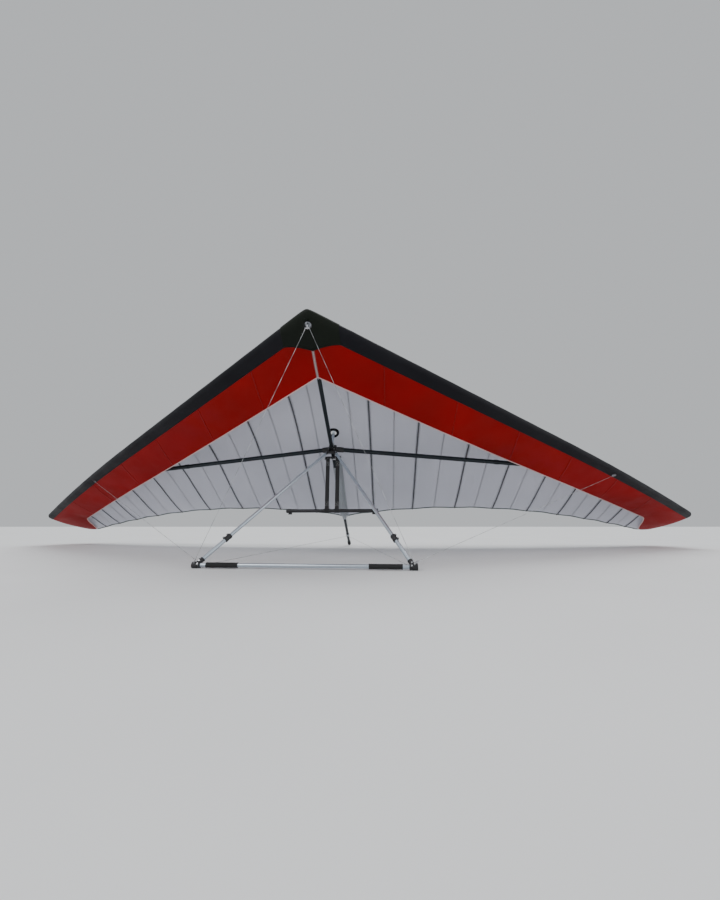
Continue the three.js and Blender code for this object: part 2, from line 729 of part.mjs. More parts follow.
// One half of the wing and control frame, drawn for the pilot's left.
function halfGlider(side) {
  const half = new THREE.Group();
  const add = (name, geometry, finish) => piece(half, `${name}_${side}`, geometry, finish);
  const holes = sideWireHoles();
  add("upper_sail", cut(upperSail(), kingpostHole(), ...holes), "whiteCloth");
  add("lower_sail", cut(lowerSail(), holes[0]), "redCloth");
  add("leading_edge_pocket", cut(leadingPocket(), ...holes), "blackCloth");
  add("leading_edge_tube", leadingTube(), "darkTube");
  add("crossbar", rod(crossStart, crossStop, CROSS_RADIUS), "darkTube");
  add("crossbar_bracket", crossBracket(), "fitting");
  add("downtube", rod(downStart, downStop, DOWNTUBE_RADIUS), "silverTube");
  add("downtube_collar", collar(), "blackPlastic");
  add("corner_bracket", cornerBracket(), "blackPlastic");
  add("base_bar_grip", grip(), "blackPlastic");
  add("lower_side_wire", wire(CORNER_EYES.side, SIDE_EYE_BELOW), "steelWire");
  add("lower_front_wire", wire(CORNER_EYES.front, CATCH_EYE), "steelWire");
  add("lower_rear_wire", wire(CORNER_EYES.rear, REAR_WIRE_EYE), "steelWire");
  add("upper_side_wire", wire(KING_EYES.side, SIDE_EYE_ABOVE), "steelWire");
  return half;
}

// What lies on the middle line.
function middle() {
  const group = new THREE.Group();
  const add = (name, geometry, finish) => piece(group, name, geometry, finish);
  add("keel_tube", keelTube(), "darkTube");
  add("nose_plate_top", nosePlateTop(), "fitting");
  add("nose_plate_bottom", nosePlateBelow(), "fitting");
  add("nose_cone", noseCone(), "oliveCloth");
  add("crossbar_junction", crossJunction(), "blackCloth");
  add("kingpost_base", kingBase(), "fitting");
  const foot = vec(0, KINGPOST_Y, KING_BASE.top + GAP);
  add("kingpost", rod(foot, vec(0, KINGPOST_Y, KINGPOST_TOP), KINGPOST_RADIUS), "silverTube");
  add("kingpost_cap", kingCap(), "blackPlastic");
  add("apex_bracket", apexBracket(), "blackPlastic");
  add("keel_pocket", keelPocket(), "whiteCloth");
  add("tail_fitting", tailFitting(), "fitting");
  add("tail_cap", tailCap(), "blackPlastic");
  const barEnd = BAR_HALF - CORNER_INSIDE - GAP;
  add("base_bar", rod(vec(-barEnd, BAR_Y, BAR_Z), vec(barEnd, BAR_Y, BAR_Z), BAR_RADIUS), "silverTube");
  add("hang_bracket", hangBracket(), "blackPlastic");
  add("upper_front_wire", wire(KING_EYES.front, FRONT_WIRE_EYE), "steelWire");
  add("upper_rear_wire", wire(KING_EYES.rear, KING_REAR_EYE), "steelWire");
  return group;
}

// Nose-up angle at which the base bar's ends and the tail cap's lower edge touch one floor.
function parkedAngle() {
  const run = CAP_END - CAP_CHAMFER - BAR_Y;
  const drop = -BAR_Z - CAP_RADIUS;
  return Math.atan2(drop, run) + Math.asin(CORNER_RADIUS / Math.hypot(run, drop));
}

const noseUp = parkedAngle();

function hangingStraps() {
  const group = new THREE.Group();
  group.position.set(0, HANG_Y, HANG_Z);
  group.rotation.x = noseUp;
  for (const [side, sign] of [["left", 1], ["right", -1]]) {
    const strap = piece(group, `hang_strap_${side}`, hangStrap(), "webbing");
    strap.position.x = sign > 0 ? 0 : -2 * STRAP_X;
  }
  piece(group, "spreader_bar", spreaderBar(), "blackPlastic");
  return group;
}

const left = halfGlider("left");
const right = halfGlider("right");
right.scale.x = -1;

const airframe = new THREE.Group();
airframe.add(left, right, middle(), hangingStraps());
airframe.rotation.x = -noseUp;

const glider = new THREE.Group();
glider.add(airframe);
glider.updateMatrixWorld(true);

// The origin is the middle of the plan, on the floor.
const box = new THREE.Box3().setFromObject(glider, true);
airframe.position.y = -(box.min.y + box.max.y) / 2;
airframe.position.z = -box.min.z;
glider.updateMatrixWorld(true);

export default glider;
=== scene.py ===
# %% [markdown]
# # A hang glider, parked
# The glider rests nose up on its base bar and the tail of its keel. This file dresses the packed
# model: cloth, tubes, fittings, wires and webbing, each in a cell of its own. The cells are read
# from top to bottom, because each one defines what the next ones need.

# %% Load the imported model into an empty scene
import json
import math

import bmesh
import bpy
import numpy as np
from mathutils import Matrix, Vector

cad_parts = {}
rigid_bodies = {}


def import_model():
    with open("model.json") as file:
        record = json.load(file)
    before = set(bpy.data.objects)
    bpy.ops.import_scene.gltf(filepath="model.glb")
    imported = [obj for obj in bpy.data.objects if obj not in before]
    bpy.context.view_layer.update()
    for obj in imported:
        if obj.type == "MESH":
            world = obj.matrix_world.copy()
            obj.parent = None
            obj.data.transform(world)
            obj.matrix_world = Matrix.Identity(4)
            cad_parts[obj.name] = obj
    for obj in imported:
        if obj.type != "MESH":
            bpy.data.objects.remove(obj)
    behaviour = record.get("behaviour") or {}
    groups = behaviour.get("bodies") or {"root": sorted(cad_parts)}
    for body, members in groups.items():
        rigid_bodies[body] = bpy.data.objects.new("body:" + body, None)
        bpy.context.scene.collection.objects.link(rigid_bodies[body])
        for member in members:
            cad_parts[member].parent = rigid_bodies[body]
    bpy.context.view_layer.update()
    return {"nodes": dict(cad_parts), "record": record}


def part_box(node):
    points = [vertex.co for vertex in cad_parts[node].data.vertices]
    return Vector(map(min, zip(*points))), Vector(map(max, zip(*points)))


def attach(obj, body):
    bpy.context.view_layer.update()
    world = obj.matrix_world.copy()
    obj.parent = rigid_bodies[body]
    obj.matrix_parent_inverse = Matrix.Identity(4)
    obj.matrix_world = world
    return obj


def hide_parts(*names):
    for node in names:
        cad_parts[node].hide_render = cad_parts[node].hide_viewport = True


for leftover in list(bpy.data.objects):
    bpy.data.objects.remove(leftover)
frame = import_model()

# %% [markdown]
# ## The keel's own frame
# A wing is drawn most easily along its keel: x goes to the glider's left, y runs back from the
# nose, and z rises from the keel. The parked glider is that frame turned nose up, so one
# function turns every point. The turn is read from the flat tail of the keel, and the shift
# from the keel tube's box.

# %% Turn the keel's frame nose up
NOSE_UP = {m["name"]: m for m in frame["record"]["mounts"]}["keel_tail"]["axis"]
COS_UP, SIN_UP = NOSE_UP[1], -NOSE_UP[2]
KEEL_RADIUS, KEEL_START, KEEL_END = 0.021, 0.025, 3.85
keel_low, keel_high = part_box("keel_tube")
SHIFT_Y = keel_low.y - KEEL_START * COS_UP + KEEL_RADIUS * SIN_UP
SHIFT_Z = keel_high.z + KEEL_START * SIN_UP - KEEL_RADIUS * COS_UP


def park(points):
    x, y, z = np.asarray(points, float).reshape(-1, 3).T
    back, rise = y * COS_UP + z * SIN_UP + SHIFT_Y, z * COS_UP - y * SIN_UP + SHIFT_Z
    return np.column_stack([x, back, rise])


print("nose up by", round(math.degrees(math.asin(SIN_UP)), 2), "degrees")

# %% [markdown]
# ## Camera
# The picture was taken from low down in front, a little to one side of the nose, with a very
# wide lens. Here the camera stands just above the floor and looks up under the wing.

# %% Place the camera
CAMERA_AT = Vector((0.6, -3.9, 0.3))
CAMERA_AIM = Vector((0.3, 0.0, 1.25))
CAMERA_LENS = 12.6
link = bpy.context.scene.collection.objects.link
lens = bpy.data.cameras.new("camera")
lens.lens = CAMERA_LENS
lens.clip_start = 0.05
camera = bpy.data.objects.new("camera", lens)
camera.location = CAMERA_AT
camera.rotation_euler = (CAMERA_AIM - CAMERA_AT).to_track_quat("-Z", "Y").to_euler()
link(camera)
bpy.context.scene.camera = camera
print("camera", round((CAMERA_AIM - CAMERA_AT).length, 2), "m from its aim")

# %% [markdown]
# ## Finishes
# Each surface of the glider is its own small tree of nodes. A few helpers keep the trees short:
# the first makes the material, the second adds a node to a tree, and the rest are the nodes that
# most finishes share. Patterns on hard parts read Object coordinates, and cloth reads the map of
# its own flat cut, in metres.

# %% Helpers for materials
def finish(name, color, roughness, metallic=0.0, **constants):
    material = bpy.data.materials.new(name)
    material.use_nodes = True
    material.diffuse_color = (*color, 1)
    shader = material.node_tree.nodes["Principled BSDF"]
    shader.inputs["Base Color"].default_value = (*color, 1)
    shader.inputs["Roughness"].default_value = roughness
    shader.inputs["Metallic"].default_value = metallic
    for socket, value in constants.items():
        shader.inputs[socket.replace("_", " ")].default_value = value
    return material


def node(holder, kind, inputs=None, **settings):
    """A new node in a material or a group, its inputs set to values or joined to sockets."""
    tree = getattr(holder, "node_tree", holder)
    made = tree.nodes.new(kind)
    for key, value in settings.items():
        setattr(made, key, value)
    for key, value in (inputs or {}).items():
        if isinstance(value, bpy.types.NodeSocket):
            tree.links.new(value, made.inputs[key])
        else:
            made.inputs[key].default_value = value
    return made


def feed(material, socket, value):
    shader = material.node_tree.nodes["Principled BSDF"]
    material.node_tree.links.new(value, shader.inputs[socket])


def noise(material, where, scale, detail=4.0):
    made = node(material, "ShaderNodeTexNoise", {"Vector": where, "Scale": scale, "Detail": detail})
    return made.outputs["Fac"]


def spread(material, value, low, high):
    """A number from low to high, as the value goes from 0.3 to 0.7."""
    settings = {"Value": value, "From Min": 0.3, "From Max": 0.7, "To Min": low, "To Max": high}
    return node(material, "ShaderNodeMapRange", settings).outputs["Result"]


def object_points(material):
    return node(material, "ShaderNodeTexCoord").outputs["Object"]


def tinted(material, value, color_a, color_b):
    ramp = node(material, "ShaderNodeValToRGB", {"Fac": value})
    for stop, place, color in zip(ramp.color_ramp.elements, (0.3, 0.7), (color_a, color_b)):
        stop.position = place
        stop.color = (*color, 1)
    return ramp.outputs["Color"]


def bumped(material, height, depth, strength=1.0, under=None):
    inputs = {"Height": height, "Distance": depth, "Strength": strength}
    if under is not None:
        inputs["Normal"] = under
    return node(material, "ShaderNodeBump", inputs).outputs["Normal"]


print("helpers: finish, node, feed, noise, spread, object_points, tinted, bumped")

# %% [markdown]
# ## Sailcloth
# Sailcloth is a tight weave, filled with resin, with a ripstop grid of thicker threads. Its map
# is in metres of flat cloth, so the threads follow every curve. Light shines through the thin
# white cloth, which is why a Translucent shader is mixed in, and hardly through the black one.

# %% Make a sailcloth
WEAVE_PITCH = 0.0011
RIPSTOP_PITCH = 0.008
WAVE_PERIOD = 2 * math.pi / 20


def threads(material, flat, pitch, along):
    inputs = {"Vector": flat, "Scale": WAVE_PERIOD / pitch, "Distortion": 0.0}
    return node(material, "ShaderNodeTexWave", inputs, bands_direction=along).outputs["Fac"]


def reckon(holder, operation, a, b):
    return node(holder, "ShaderNodeMath", {0: a, 1: b}, operation=operation).outputs[0]


def cloth_map(material):
    return node(material, "ShaderNodeUVMap", uv_map="cloth").outputs["UV"]


def sailcloth(name, light, dark, roughness, see_through, gloss=0.15):
    cloth = finish(name, light, roughness, Specular_IOR_Level=gloss)
    flat = cloth_map(cloth)
    where = object_points(cloth)
    stains = noise(cloth, where, 1.3, 6.0)
    feed(cloth, "Base Color", tinted(cloth, stains, dark, light))
    wear = noise(cloth, where, 5.0, 5.0)
    feed(cloth, "Roughness", spread(cloth, wear, roughness - 0.08, roughness + 0.08))
    weave = reckon(cloth, "MAXIMUM", *[threads(cloth, flat, WEAVE_PITCH, a) for a in "XY"])
    grid = [reckon(cloth, "POWER", threads(cloth, flat, RIPSTOP_PITCH, a), 14.0) for a in "XY"]
    fine = bumped(cloth, weave, 0.00012, 0.7)
    ripstop = bumped(cloth, reckon(cloth, "MAXIMUM", *grid), 0.00025, 0.8, fine)
    creases = noise(cloth, where, 9.0, 3.0)
    normal = bumped(cloth, creases, 0.006, 0.35, ripstop)
    feed(cloth, "Normal", normal)
    if see_through:
        shaders = cloth.node_tree.nodes
        shine = shaders["Principled BSDF"].outputs[0]
        glow = node(cloth, "ShaderNodeBsdfTranslucent", {"Color": (*light, 1), "Normal": normal})
        mixed = node(cloth, "ShaderNodeMixShader", {0: see_through, 1: shine, 2: glow.outputs[0]})
        surface = shaders["Material Output"].inputs["Surface"]
        cloth.node_tree.links.new(mixed.outputs[0], surface)
    return cloth


WHITE_CLOTH = sailcloth("white_sailcloth", (0.7, 0.705, 0.755), (0.61, 0.62, 0.67), 0.5, 0.45, 0.3)
RED_CLOTH = sailcloth("red_sailcloth", (0.34, 0.0012, 0.0025), (0.25, 0.0008, 0.0018), 0.6, 0.12)
BLACK_CLOTH = sailcloth("black_sailcloth", (0.005, 0.005, 0.0075), (0.009, 0.009, 0.012), 0.5, 0)
OLIVE_CLOTH = sailcloth("olive_sailcloth", (0.009, 0.013, 0.007), (0.005, 0.0075, 0.0045), 0.55, 0)
HEM_TAPE = sailcloth("hem_tape", (0.1, 0.125, 0.125), (0.07, 0.09, 0.09), 0.55, 0)
PIPING = sailcloth("piping", (0.74, 0.52, 0.5), (0.62, 0.42, 0.4), 0.6, 0)
# Painted shade: the dark grey cloth over each batten stands for the batten's shade seen through the
# sail.
BATTEN_SHADE_CLOTH = sailcloth("batten_pocket_painted_shade", (0.12, 0.125, 0.14), (0.085, 0.09, 0.1), 0.55, 0.1)
# Painted shade: the seam cloth is darker than the white sail, for the doubled cloth in light from
# behind.
SEAM_SHADE_CLOTH = sailcloth("seam_cloth_painted_shade", (0.5, 0.505, 0.55), (0.43, 0.435, 0.48), 0.5, 0.3)
ZIP_CLOTH = sailcloth("zip_cloth", (0.36, 0.23, 0.23), (0.28, 0.17, 0.17), 0.65, 0)
KEEL_CLOTH = sailcloth("keel_cloth", (0.5, 0.53, 0.56), (0.42, 0.45, 0.48), 0.55, 0.25)
print("sailcloths", [m.name for m in bpy.data.materials if "cloth" in m.name])

# %% [markdown]
# ## Tubes and fittings
# The tubes are drawn aluminium with an anodised skin: a fine grain roughens it and the colour
# drifts a little along the tube. Plates and bolts keep the marks of their machining. Three noises
# of very different sizes, read in metres, give the grain, the drift and the marks.

# %% Make metals
GRAIN = (60.0, 60.0, 60.0)


def anodised(name, color, darker, roughness, metallic=0.9):
    metal = finish(name, color, roughness, metallic)
    where = object_points(metal)
    drawn = node(metal, "ShaderNodeMapping", {"Vector": where, "Scale": GRAIN}).outputs[0]
    grain = noise(metal, drawn, 6.0, 6.0)
    drift = noise(metal, where, 2.2, 4.0)
    feed(metal, "Base Color", tinted(metal, drift, darker, color))
    feed(metal, "Roughness", spread(metal, grain, roughness - 0.1, roughness + 0.12))
    scuffs = noise(metal, where, 70.0, 8.0)
    feed(metal, "Normal", bumped(metal, scuffs, 0.0002, 0.08, bumped(metal, grain, 0.0003, 0.2)))
    return metal


DARK_TUBE = anodised("dark_anodised", (0.035, 0.042, 0.048), (0.022, 0.026, 0.03), 0.36)
SILVER_TUBE = anodised("silver_anodised", (0.56, 0.62, 0.68), (0.47, 0.53, 0.6), 0.34)
FITTING = anodised("machined_aluminium", (0.5, 0.52, 0.55), (0.4, 0.42, 0.45), 0.38)
STEEL = anodised("stainless_steel", (0.62, 0.62, 0.63), (0.5, 0.5, 0.52), 0.26, metallic=1.0)
print("metals", [m.name for m in (DARK_TUBE, SILVER_TUBE, FITTING, STEEL)])

# %% [markdown]
# ## Plastics, rubber, webbing and wire
# Moulded plastic has a pebbled skin, rubber a duller one. Webbing is a coarse twill: two sets of
# ribs across each other. The wires are stranded, and a slanted wave on their own map, which
# counts once round and in metres along, turns into a rope's twist. On both the colour follows the
# ribs: the grooves are painted darker, as shade, and the crests lighter, as highlight.

# %% Make the other hard finishes
def moulded(name, color, lighter, roughness, pebble, depth):
    skin = finish(name, color, roughness)
    where = object_points(skin)
    worn = noise(skin, where, 6.0, 7.0)
    feed(skin, "Base Color", tinted(skin, worn, color, lighter))
    feed(skin, "Roughness", spread(skin, worn, roughness - 0.07, roughness + 0.1))
    feed(skin, "Normal", bumped(skin, noise(skin, where, pebble, 3.0), depth, 0.5))
    return skin


PLASTIC = moulded("black_plastic", (0.01, 0.01, 0.012), (0.022, 0.022, 0.025), 0.45, 900, 0.0002)
RUBBER = moulded("grip_rubber", (0.009, 0.009, 0.01), (0.02, 0.02, 0.021), 0.75, 600, 0.0003)
PADDING = moulded("padding_vinyl", (0.012, 0.012, 0.014), (0.024, 0.024, 0.027), 0.55, 260, 0.0006)
THREAD = moulded("thread", (0.5, 0.5, 0.5), (0.62, 0.62, 0.62), 0.8, 2500, 0.0001)
GREY_THREAD = moulded("grey_thread", (0.14, 0.15, 0.17), (0.2, 0.21, 0.23), 0.8, 2500, 0.0001)
DARK_THREAD = moulded("dark_thread", (0.03, 0.03, 0.033), (0.05, 0.05, 0.055), 0.8, 2500, 0.0001)
ZIP_TEETH = moulded("zip_plastic", (0.42, 0.41, 0.4), (0.5, 0.48, 0.46), 0.4, 900, 0.0001)


def swept_map(material):
    """Once round the section, and metres along the path, as the round section stores them."""
    around, along = [
        node(material, "ShaderNodeAttribute", attribute_name=name).outputs["Fac"]
        for name in ("around", "along")
    ]
    return node(material, "ShaderNodeCombineXYZ", {0: around, 1: along}).outputs[0]


def striped(name, color, lighter, roughness, pitches, depth, metallic=0.0, twist=0.0, swept=False):
    band = finish(name, color, roughness, metallic)
    flat = swept_map(band) if swept else cloth_map(band)
    turned = node(band, "ShaderNodeMapping", {"Vector": flat, "Rotation": (0, 0, twist)})
    ribs = [threads(band, turned.outputs[0], p, a) for p, a in zip(pitches, "XY") if p]
    rib = reckon(band, "MAXIMUM", *ribs) if len(ribs) > 1 else ribs[0]
    # Painted shade and highlight: darker in the grooves between ribs, lighter on their crests.
    feed(band, "Base Color", tinted(band, rib, color, lighter))
    worn = noise(band, object_points(band), 12.0, 5.0)
    feed(band, "Roughness", spread(band, worn, roughness - 0.06, roughness + 0.1))
    feed(band, "Normal", bumped(band, rib, depth, 0.8))
    return band


WEBBING = striped(
    "webbing", (0.008, 0.008, 0.009), (0.028, 0.028, 0.03), 0.85, (0.0026, 0.0014), 0.0005
)
WIRE = striped(
    "stranded_wire", (0.3, 0.31, 0.32), (0.6, 0.61, 0.62), 0.34, (0.14, 0), 0.0003, 0.95, 1.53, True
)
print("finishes", len(bpy.data.materials))

# %% [markdown]
# ## Floor and light
# A pale studio: the floor runs off in every direction and a soft sky fills the shadows. Three
# broad suns model the wing and leave no pool of light on the floor. One shines down from behind,
# so that light comes through the thin cloth, as the sky's does in the open air.

# %% Set the floor and the lamps
FLOOR_HALF = 400.0
floor_mesh = bpy.data.meshes.new("floor")
corners = [(-1, -1), (1, -1), (1, 1), (-1, 1)]
floor_mesh.from_pydata([(FLOOR_HALF * x, FLOOR_HALF * y, 0) for x, y in corners], [], [(0, 1, 2, 3)])
floor = bpy.data.objects.new("floor", floor_mesh)
link(floor)
floor_paint = finish("floor_paint", (0.78, 0.785, 0.79), 0.7)
floor_mesh.materials.append(floor_paint)
mottle = noise(floor_paint, object_points(floor_paint), 0.8, 3.0)
feed(floor_paint, "Base Color", tinted(floor_paint, mottle, (0.76, 0.765, 0.77), (0.8, 0.805, 0.81)))

world = bpy.data.worlds.new("sky")
bpy.context.scene.world = world
world.use_nodes = True
SKY = world.node_tree.nodes["Background"]
SKY.inputs["Color"].default_value = (0.9, 0.93, 0.96, 1)
SKY.inputs["Strength"].default_value = 0.62

LAMPS = {
    "key": dict(towards=(0.55, 0.75, -0.8), strength=1.1, spread=35),
    "side": dict(towards=(-0.9, 0.35, -0.35), strength=0.5, spread=50),
    "above": dict(towards=(-0.1, -0.35, -1.0), strength=1.3, spread=40),
}
for name, lamp in LAMPS.items():
    light = bpy.data.lights.new(name, "SUN")
    light.angle = math.radians(lamp["spread"])
    light.energy = lamp["strength"]
    stand = bpy.data.objects.new(name, light)
    stand.rotation_euler = Vector(lamp["towards"]).to_track_quat("-Z", "Y").to_euler()
    link(stand)
print("lamps", list(LAMPS))

# %% [markdown]
# ## Shapes
# Most pieces are gathered as points and faces in the keel's frame and turned into a mesh once.
# That keeps each object at the origin, with its place in its mesh. The same gatherer carries
# the flat map of the cloth, a mark for each face's finish, and can add its mirror image.

# %% Gather points and faces
MIRROR = np.array([-1, 1, 1])
SLOTS = {
    "white_cloth": (WHITE_CLOTH, SEAM_SHADE_CLOTH, KEEL_CLOTH),
    "red_cloth": (RED_CLOTH, PIPING, ZIP_CLOTH, ZIP_TEETH),
    "black_cloth": (BLACK_CLOTH, PADDING),
    "olive_cloth": (OLIVE_CLOTH,),
    "dark_tube": (DARK_TUBE,),
    "silver_tube": (SILVER_TUBE,),
    "fitting": (FITTING, STEEL),
    "black_plastic": (PLASTIC,),
    "grip_rubber": (RUBBER,),
    "webbing": (WEBBING,),
    "steel_wire": (WIRE,),
}
SLOT_OF = {material: slot for slot, materials in SLOTS.items() for material in materials}


def flipped(faces):
    """The same faces, looking the other way."""
    return [tuple(reversed(face)) for face in faces]


def mirrored(solid):
    """The solid's mirror image on the other side of the keel."""
    return solid[0] * MIRROR, flipped(solid[1])


def left_right(name):
    return [name + "_left", name + "_right"]


class Shape:
    def __init__(self, *solids):
        self.points, self.flats, self.faces, self.marks = [], [], [], []
        self.count = 0
        self.add(*solids)

    def add(self, *solids, flat=None):
        for points, faces in solids:
            self.points.append(np.asarray(points, float))
            self.flats.append(points[:, :2] if flat is None else np.reshape(flat, (-1, 2)))
            self.faces += [tuple(i + self.count for i in face) for face in faces]
            self.marks += [0] * len(faces)
            self.count += len(points)
        return self

    def mirror(self):
        self.points += [points * MIRROR for points in self.points]
        self.flats += [flat * MIRROR[:2] for flat in self.flats]
        self.faces += [tuple(i + self.count for i in face) for face in flipped(self.faces)]
        self.marks += self.marks
        self.count *= 2
        return self

    def piece(self, name, *finishes, placed=False, slot=None, **look):
        points = np.concatenate(self.points)
        mesh = bpy.data.meshes.new(name)
        mesh.from_pydata((points if placed else park(points)).tolist(), [], self.faces)
        for material in finishes:
            mesh.materials.append(material)
        mesh.polygons.foreach_set("material_index", self.marks)
        ends = np.zeros(len(mesh.loops), int)
        mesh.loops.foreach_get("vertex_index", ends)
        flat = np.concatenate(self.flats)[ends]
        mesh.uv_layers.new(name="cloth").data.foreach_set("uv", flat.ravel())
        return dress(mesh, slot or SLOT_OF[finishes[0]], **look)


print("slots", list(SLOTS))

# %% [markdown]
# A mesh becomes a piece once its doubled points are welded, its corners are sharpened and its
# thickness and soft edges are set. Then it is told which body it rides on and which imported
# solids it replaces.

# %% Make a piece of a mesh
WELD = 0.000002
BEVEL_FROM = math.radians(40)


def dress(mesh, slot, body="airframe", replaces=(), smooth=35, bevel=0, solid=0, offset=-1):
    """Makes the mesh an object that rides on a body. Sizes are in metres, smooth in degrees."""
    mesh.validate()
    welded = bmesh.new()
    welded.from_mesh(mesh)
    bmesh.ops.remove_doubles(welded, verts=welded.verts, dist=WELD)
    welded.to_mesh(mesh)
    welded.free()
    mesh.shade_smooth()
    mesh.set_sharp_from_angle(angle=math.radians(smooth))
    piece = bpy.data.objects.new(mesh.name, mesh)
    link(piece)
    if solid:
        wall = piece.modifiers.new("thickness", "SOLIDIFY")
        wall.thickness = solid
        wall.offset = offset
    if bevel:
        edge = piece.modifiers.new("edges", "BEVEL")
        edge.width = bevel
        edge.segments = 2
        edge.limit_method = "ANGLE"
        edge.angle_limit = BEVEL_FROM
    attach(piece, body)
    if replaces:
        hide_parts(*replaces)
    print(mesh.name, len(mesh.polygons), "faces")
    return piece


print("points closer than", WELD, "m are welded")

# %% [markdown]
# Points come in rows and columns, so one function numbers the faces of any such grid. The other
# helpers give the few directions, arcs and sheets that the shapes are drawn from.

# %% Directions, arcs and sheets
X, Y, Z = np.eye(3)
RIGHT_ANGLE = math.pi / 2


def unit(vector):
    return np.asarray(vector, float) / np.linalg.norm(vector)


def along(start, way, distance):
    return np.asarray(start) + np.asarray(way) * distance


def across(direction):
    """Two directions square to one and to each other."""
    direction = unit(direction)
    guide = Z if abs(direction[2]) < 0.9 else X
    u = unit(np.cross(guide, direction))
    return u, np.cross(direction, u)


def circle(u, v, count):
    """Directions all round, from u through v."""
    angles = np.linspace(0, 2 * math.pi, count, endpoint=False)
    return np.outer(np.cos(angles), u) + np.outer(np.sin(angles), v)


def arc(start, stop, count, wide, high, middle=(0, 0)):
    """Points on a part of a round or oval, from one angle to another."""
    turns = np.linspace(start, stop, count)
    return [(middle[0] + wide * math.cos(a), middle[1] + high * math.sin(a)) for a in turns]


def grid(rows, columns):
    return np.meshgrid(rows, columns, indexing="ij")


def grid_faces(rows, columns, around=False, ring=False):
    """The faces of a grid of points, joined up around its columns, or its rows into a ring."""
    corners = ((0, 0), (0, 1), (1, 1), (1, 0))
    return [
        tuple((r + down) % rows * columns + (c + on) % columns for down, on in corners)
        for r in range(rows if ring else rows - 1)
        for c in range(columns if around else columns - 1)
    ]


def sheet(x, y, z, over=False, around=False):
    """A sheet from grids of x, y and z, turned over where it would face the wrong way."""
    points = np.stack(np.broadcast_arrays(x, y, z), -1)
    faces = grid_faces(*points.shape[:2], around)
    return points.reshape(-1, 3), flipped(faces) if over else faces


print("a grid of 3 by 3 points has", len(grid_faces(3, 3)), "faces")

# %% [markdown]
# A few kinds of solid make up nearly all of the metalwork: turned pieces, swept tubes, and
# plates cut to an outline. Each function gives points and faces, with the faces outwards.

# %% Turned, swept and cut solids
def capped(rings, count):
    """A skin over rings of points, closed at both ends."""
    points = np.concatenate(rings)
    ends = [tuple(reversed(range(count))), tuple(range(len(points) - count, len(points)))]
    return points, grid_faces(len(rings), count, True) + ends


def sweep(path, radius, count):
    """A round bar along a path."""
    tangents = np.gradient(path, axis=0)
    u = across(tangents[0])[0]
    rings = []
    for point, tangent in zip(path, tangents):
        tangent = unit(tangent)
        u = unit(u - tangent * np.dot(u, tangent))
        rings.append(point + circle(u, np.cross(tangent, u), count) * radius)
    return capped(rings, count)


def turn(profile, start, way, count, bored=False):
    """A turned solid from pairs of radius and distance along the way, bored or closed."""
    axis = unit(way)
    spokes = circle(*across(axis), count)
    rings = [along(start, axis, distance) + spokes * radius for radius, distance in profile]
    if bored:
        return np.concatenate(rings), grid_faces(len(rings), count, True, True)
    return capped(rings, count)


def even(half, length=0):
    """A profile that is the same from both ends, from its first half."""
    return [*half, *((radius, length - distance) for radius, distance in half[::-1])]


def tube(start, end, radius, wall=0.0009, count=48, chamfer=0.0004):
    """A round tube with open, chamfered ends."""
    way = np.subtract(end, start)
    half = [(radius - wall, 0), (radius - chamfer, 0), (radius, chamfer)]
    return turn(even(half, np.linalg.norm(way)), start, way, count, bored=True)


def rod(start, end, radius, count=32, chamfer=0.0006):
    way = np.subtract(end, start)
    half = [(radius - chamfer, 0), (radius, chamfer)]
    return turn(even(half, np.linalg.norm(way)), start, way, count)


def slab(outline, thickness, centre=(0, 0, 0), u=X, v=Y):
    """A plate of a given outline in the plane of u and v, half of its thickness on each side."""
    u, v = unit(u), unit(v)
    w = np.cross(u, v) * thickness / 2
    a, b = np.array(outline, float).T
    if np.dot(a, np.roll(b, -1)) < np.dot(b, np.roll(a, -1)):
        outline = outline[::-1]
    flat = np.array([np.asarray(centre) + u * a + v * b for a, b in outline])
    return capped([flat - w, flat + w], len(flat))


def block(size, centre, u=X, v=Y):
    a, b = size[0] / 2, size[1] / 2
    return slab([(-a, -b), (a, -b), (a, b), (-a, b)], size[2], centre, u, v)


def lug(length, width):
    """An outline that is square at zero and round at the far end of its length."""
    radius = width / 2
    tip = arc(-RIGHT_ANGLE, RIGHT_ANGLE, 10, radius, radius, (length - radius, 0))
    return [(0, -radius), *tip, (0, radius)]


print("solids: sweep, turn, tube, rod, slab, block")

# %% [markdown]
# ## The wing's surfaces
# A flex wing is a few curves: the bent leading edge, the hollow trailing edge, and the arch that
# the battens hold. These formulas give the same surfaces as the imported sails, so that the cloth
# lies where those solids do. x is the distance from the keel, and works for whole arrays.

# %% Curves of the wing
HALF_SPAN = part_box("upper_sail_left")[1].x
SWEEP = math.radians(31.5)
ROOT_TRAIL, TIP_TRAIL, TRAIL_HOLLOW = 3.11, 3.975, 0.28
TIP_CORNER, TIP_CORNER_DEPTH = 0.26, 0.24
LEAD_Y, LEAD_BEND, LEAD_BEND_FROM, LEAD_RISE = 0.045, 0.11, 2.6, 0.022
POCKET_RADIUS, POCKET_START, POCKET_ARC_END = 0.038, 0.165, math.radians(117)
LIP_TOP, LIP_BELOW = (0.15, 0.09), (0.115, 0.065)
UNDER_CHORD, UNDER_TIP, UNDER_HEM = (0.61, 0.54), (4.43, 4.76), 0.012
CAMBER, TRAIL_LIFT, WASHOUT = (0.082, 0.055), 0.038, math.radians(9.5)
ARCH_SCALE = 27 / 4
CONE_HALF, CONE_PATCH, CONE_ROUND, CONE_TAPER = 0.25, 0.19, 0.022, 1.25
SAIL_DEPTH, UNDER_DEPTH, UNDER_SETBACK = 0.005, 0.004, 0.006


def mix(ends, share):
    return ends[0] + (ends[1] - ends[0]) * share


def smoothstep(x, low, high):
    t = np.clip((x - low) / (high - low), 0, 1)
    return t * t * (3 - 2 * t)


def lead_y(x):
    bend = np.maximum(0, (x - LEAD_BEND_FROM) / (HALF_SPAN - LEAD_BEND_FROM)) ** 2
    return LEAD_Y + math.tan(SWEEP) * x + LEAD_BEND * bend


def lead_z(x):
    return LEAD_RISE * x


def arc_end_y(x):
    return lead_y(x) + POCKET_RADIUS * math.cos(POCKET_ARC_END) / math.cos(SWEEP)


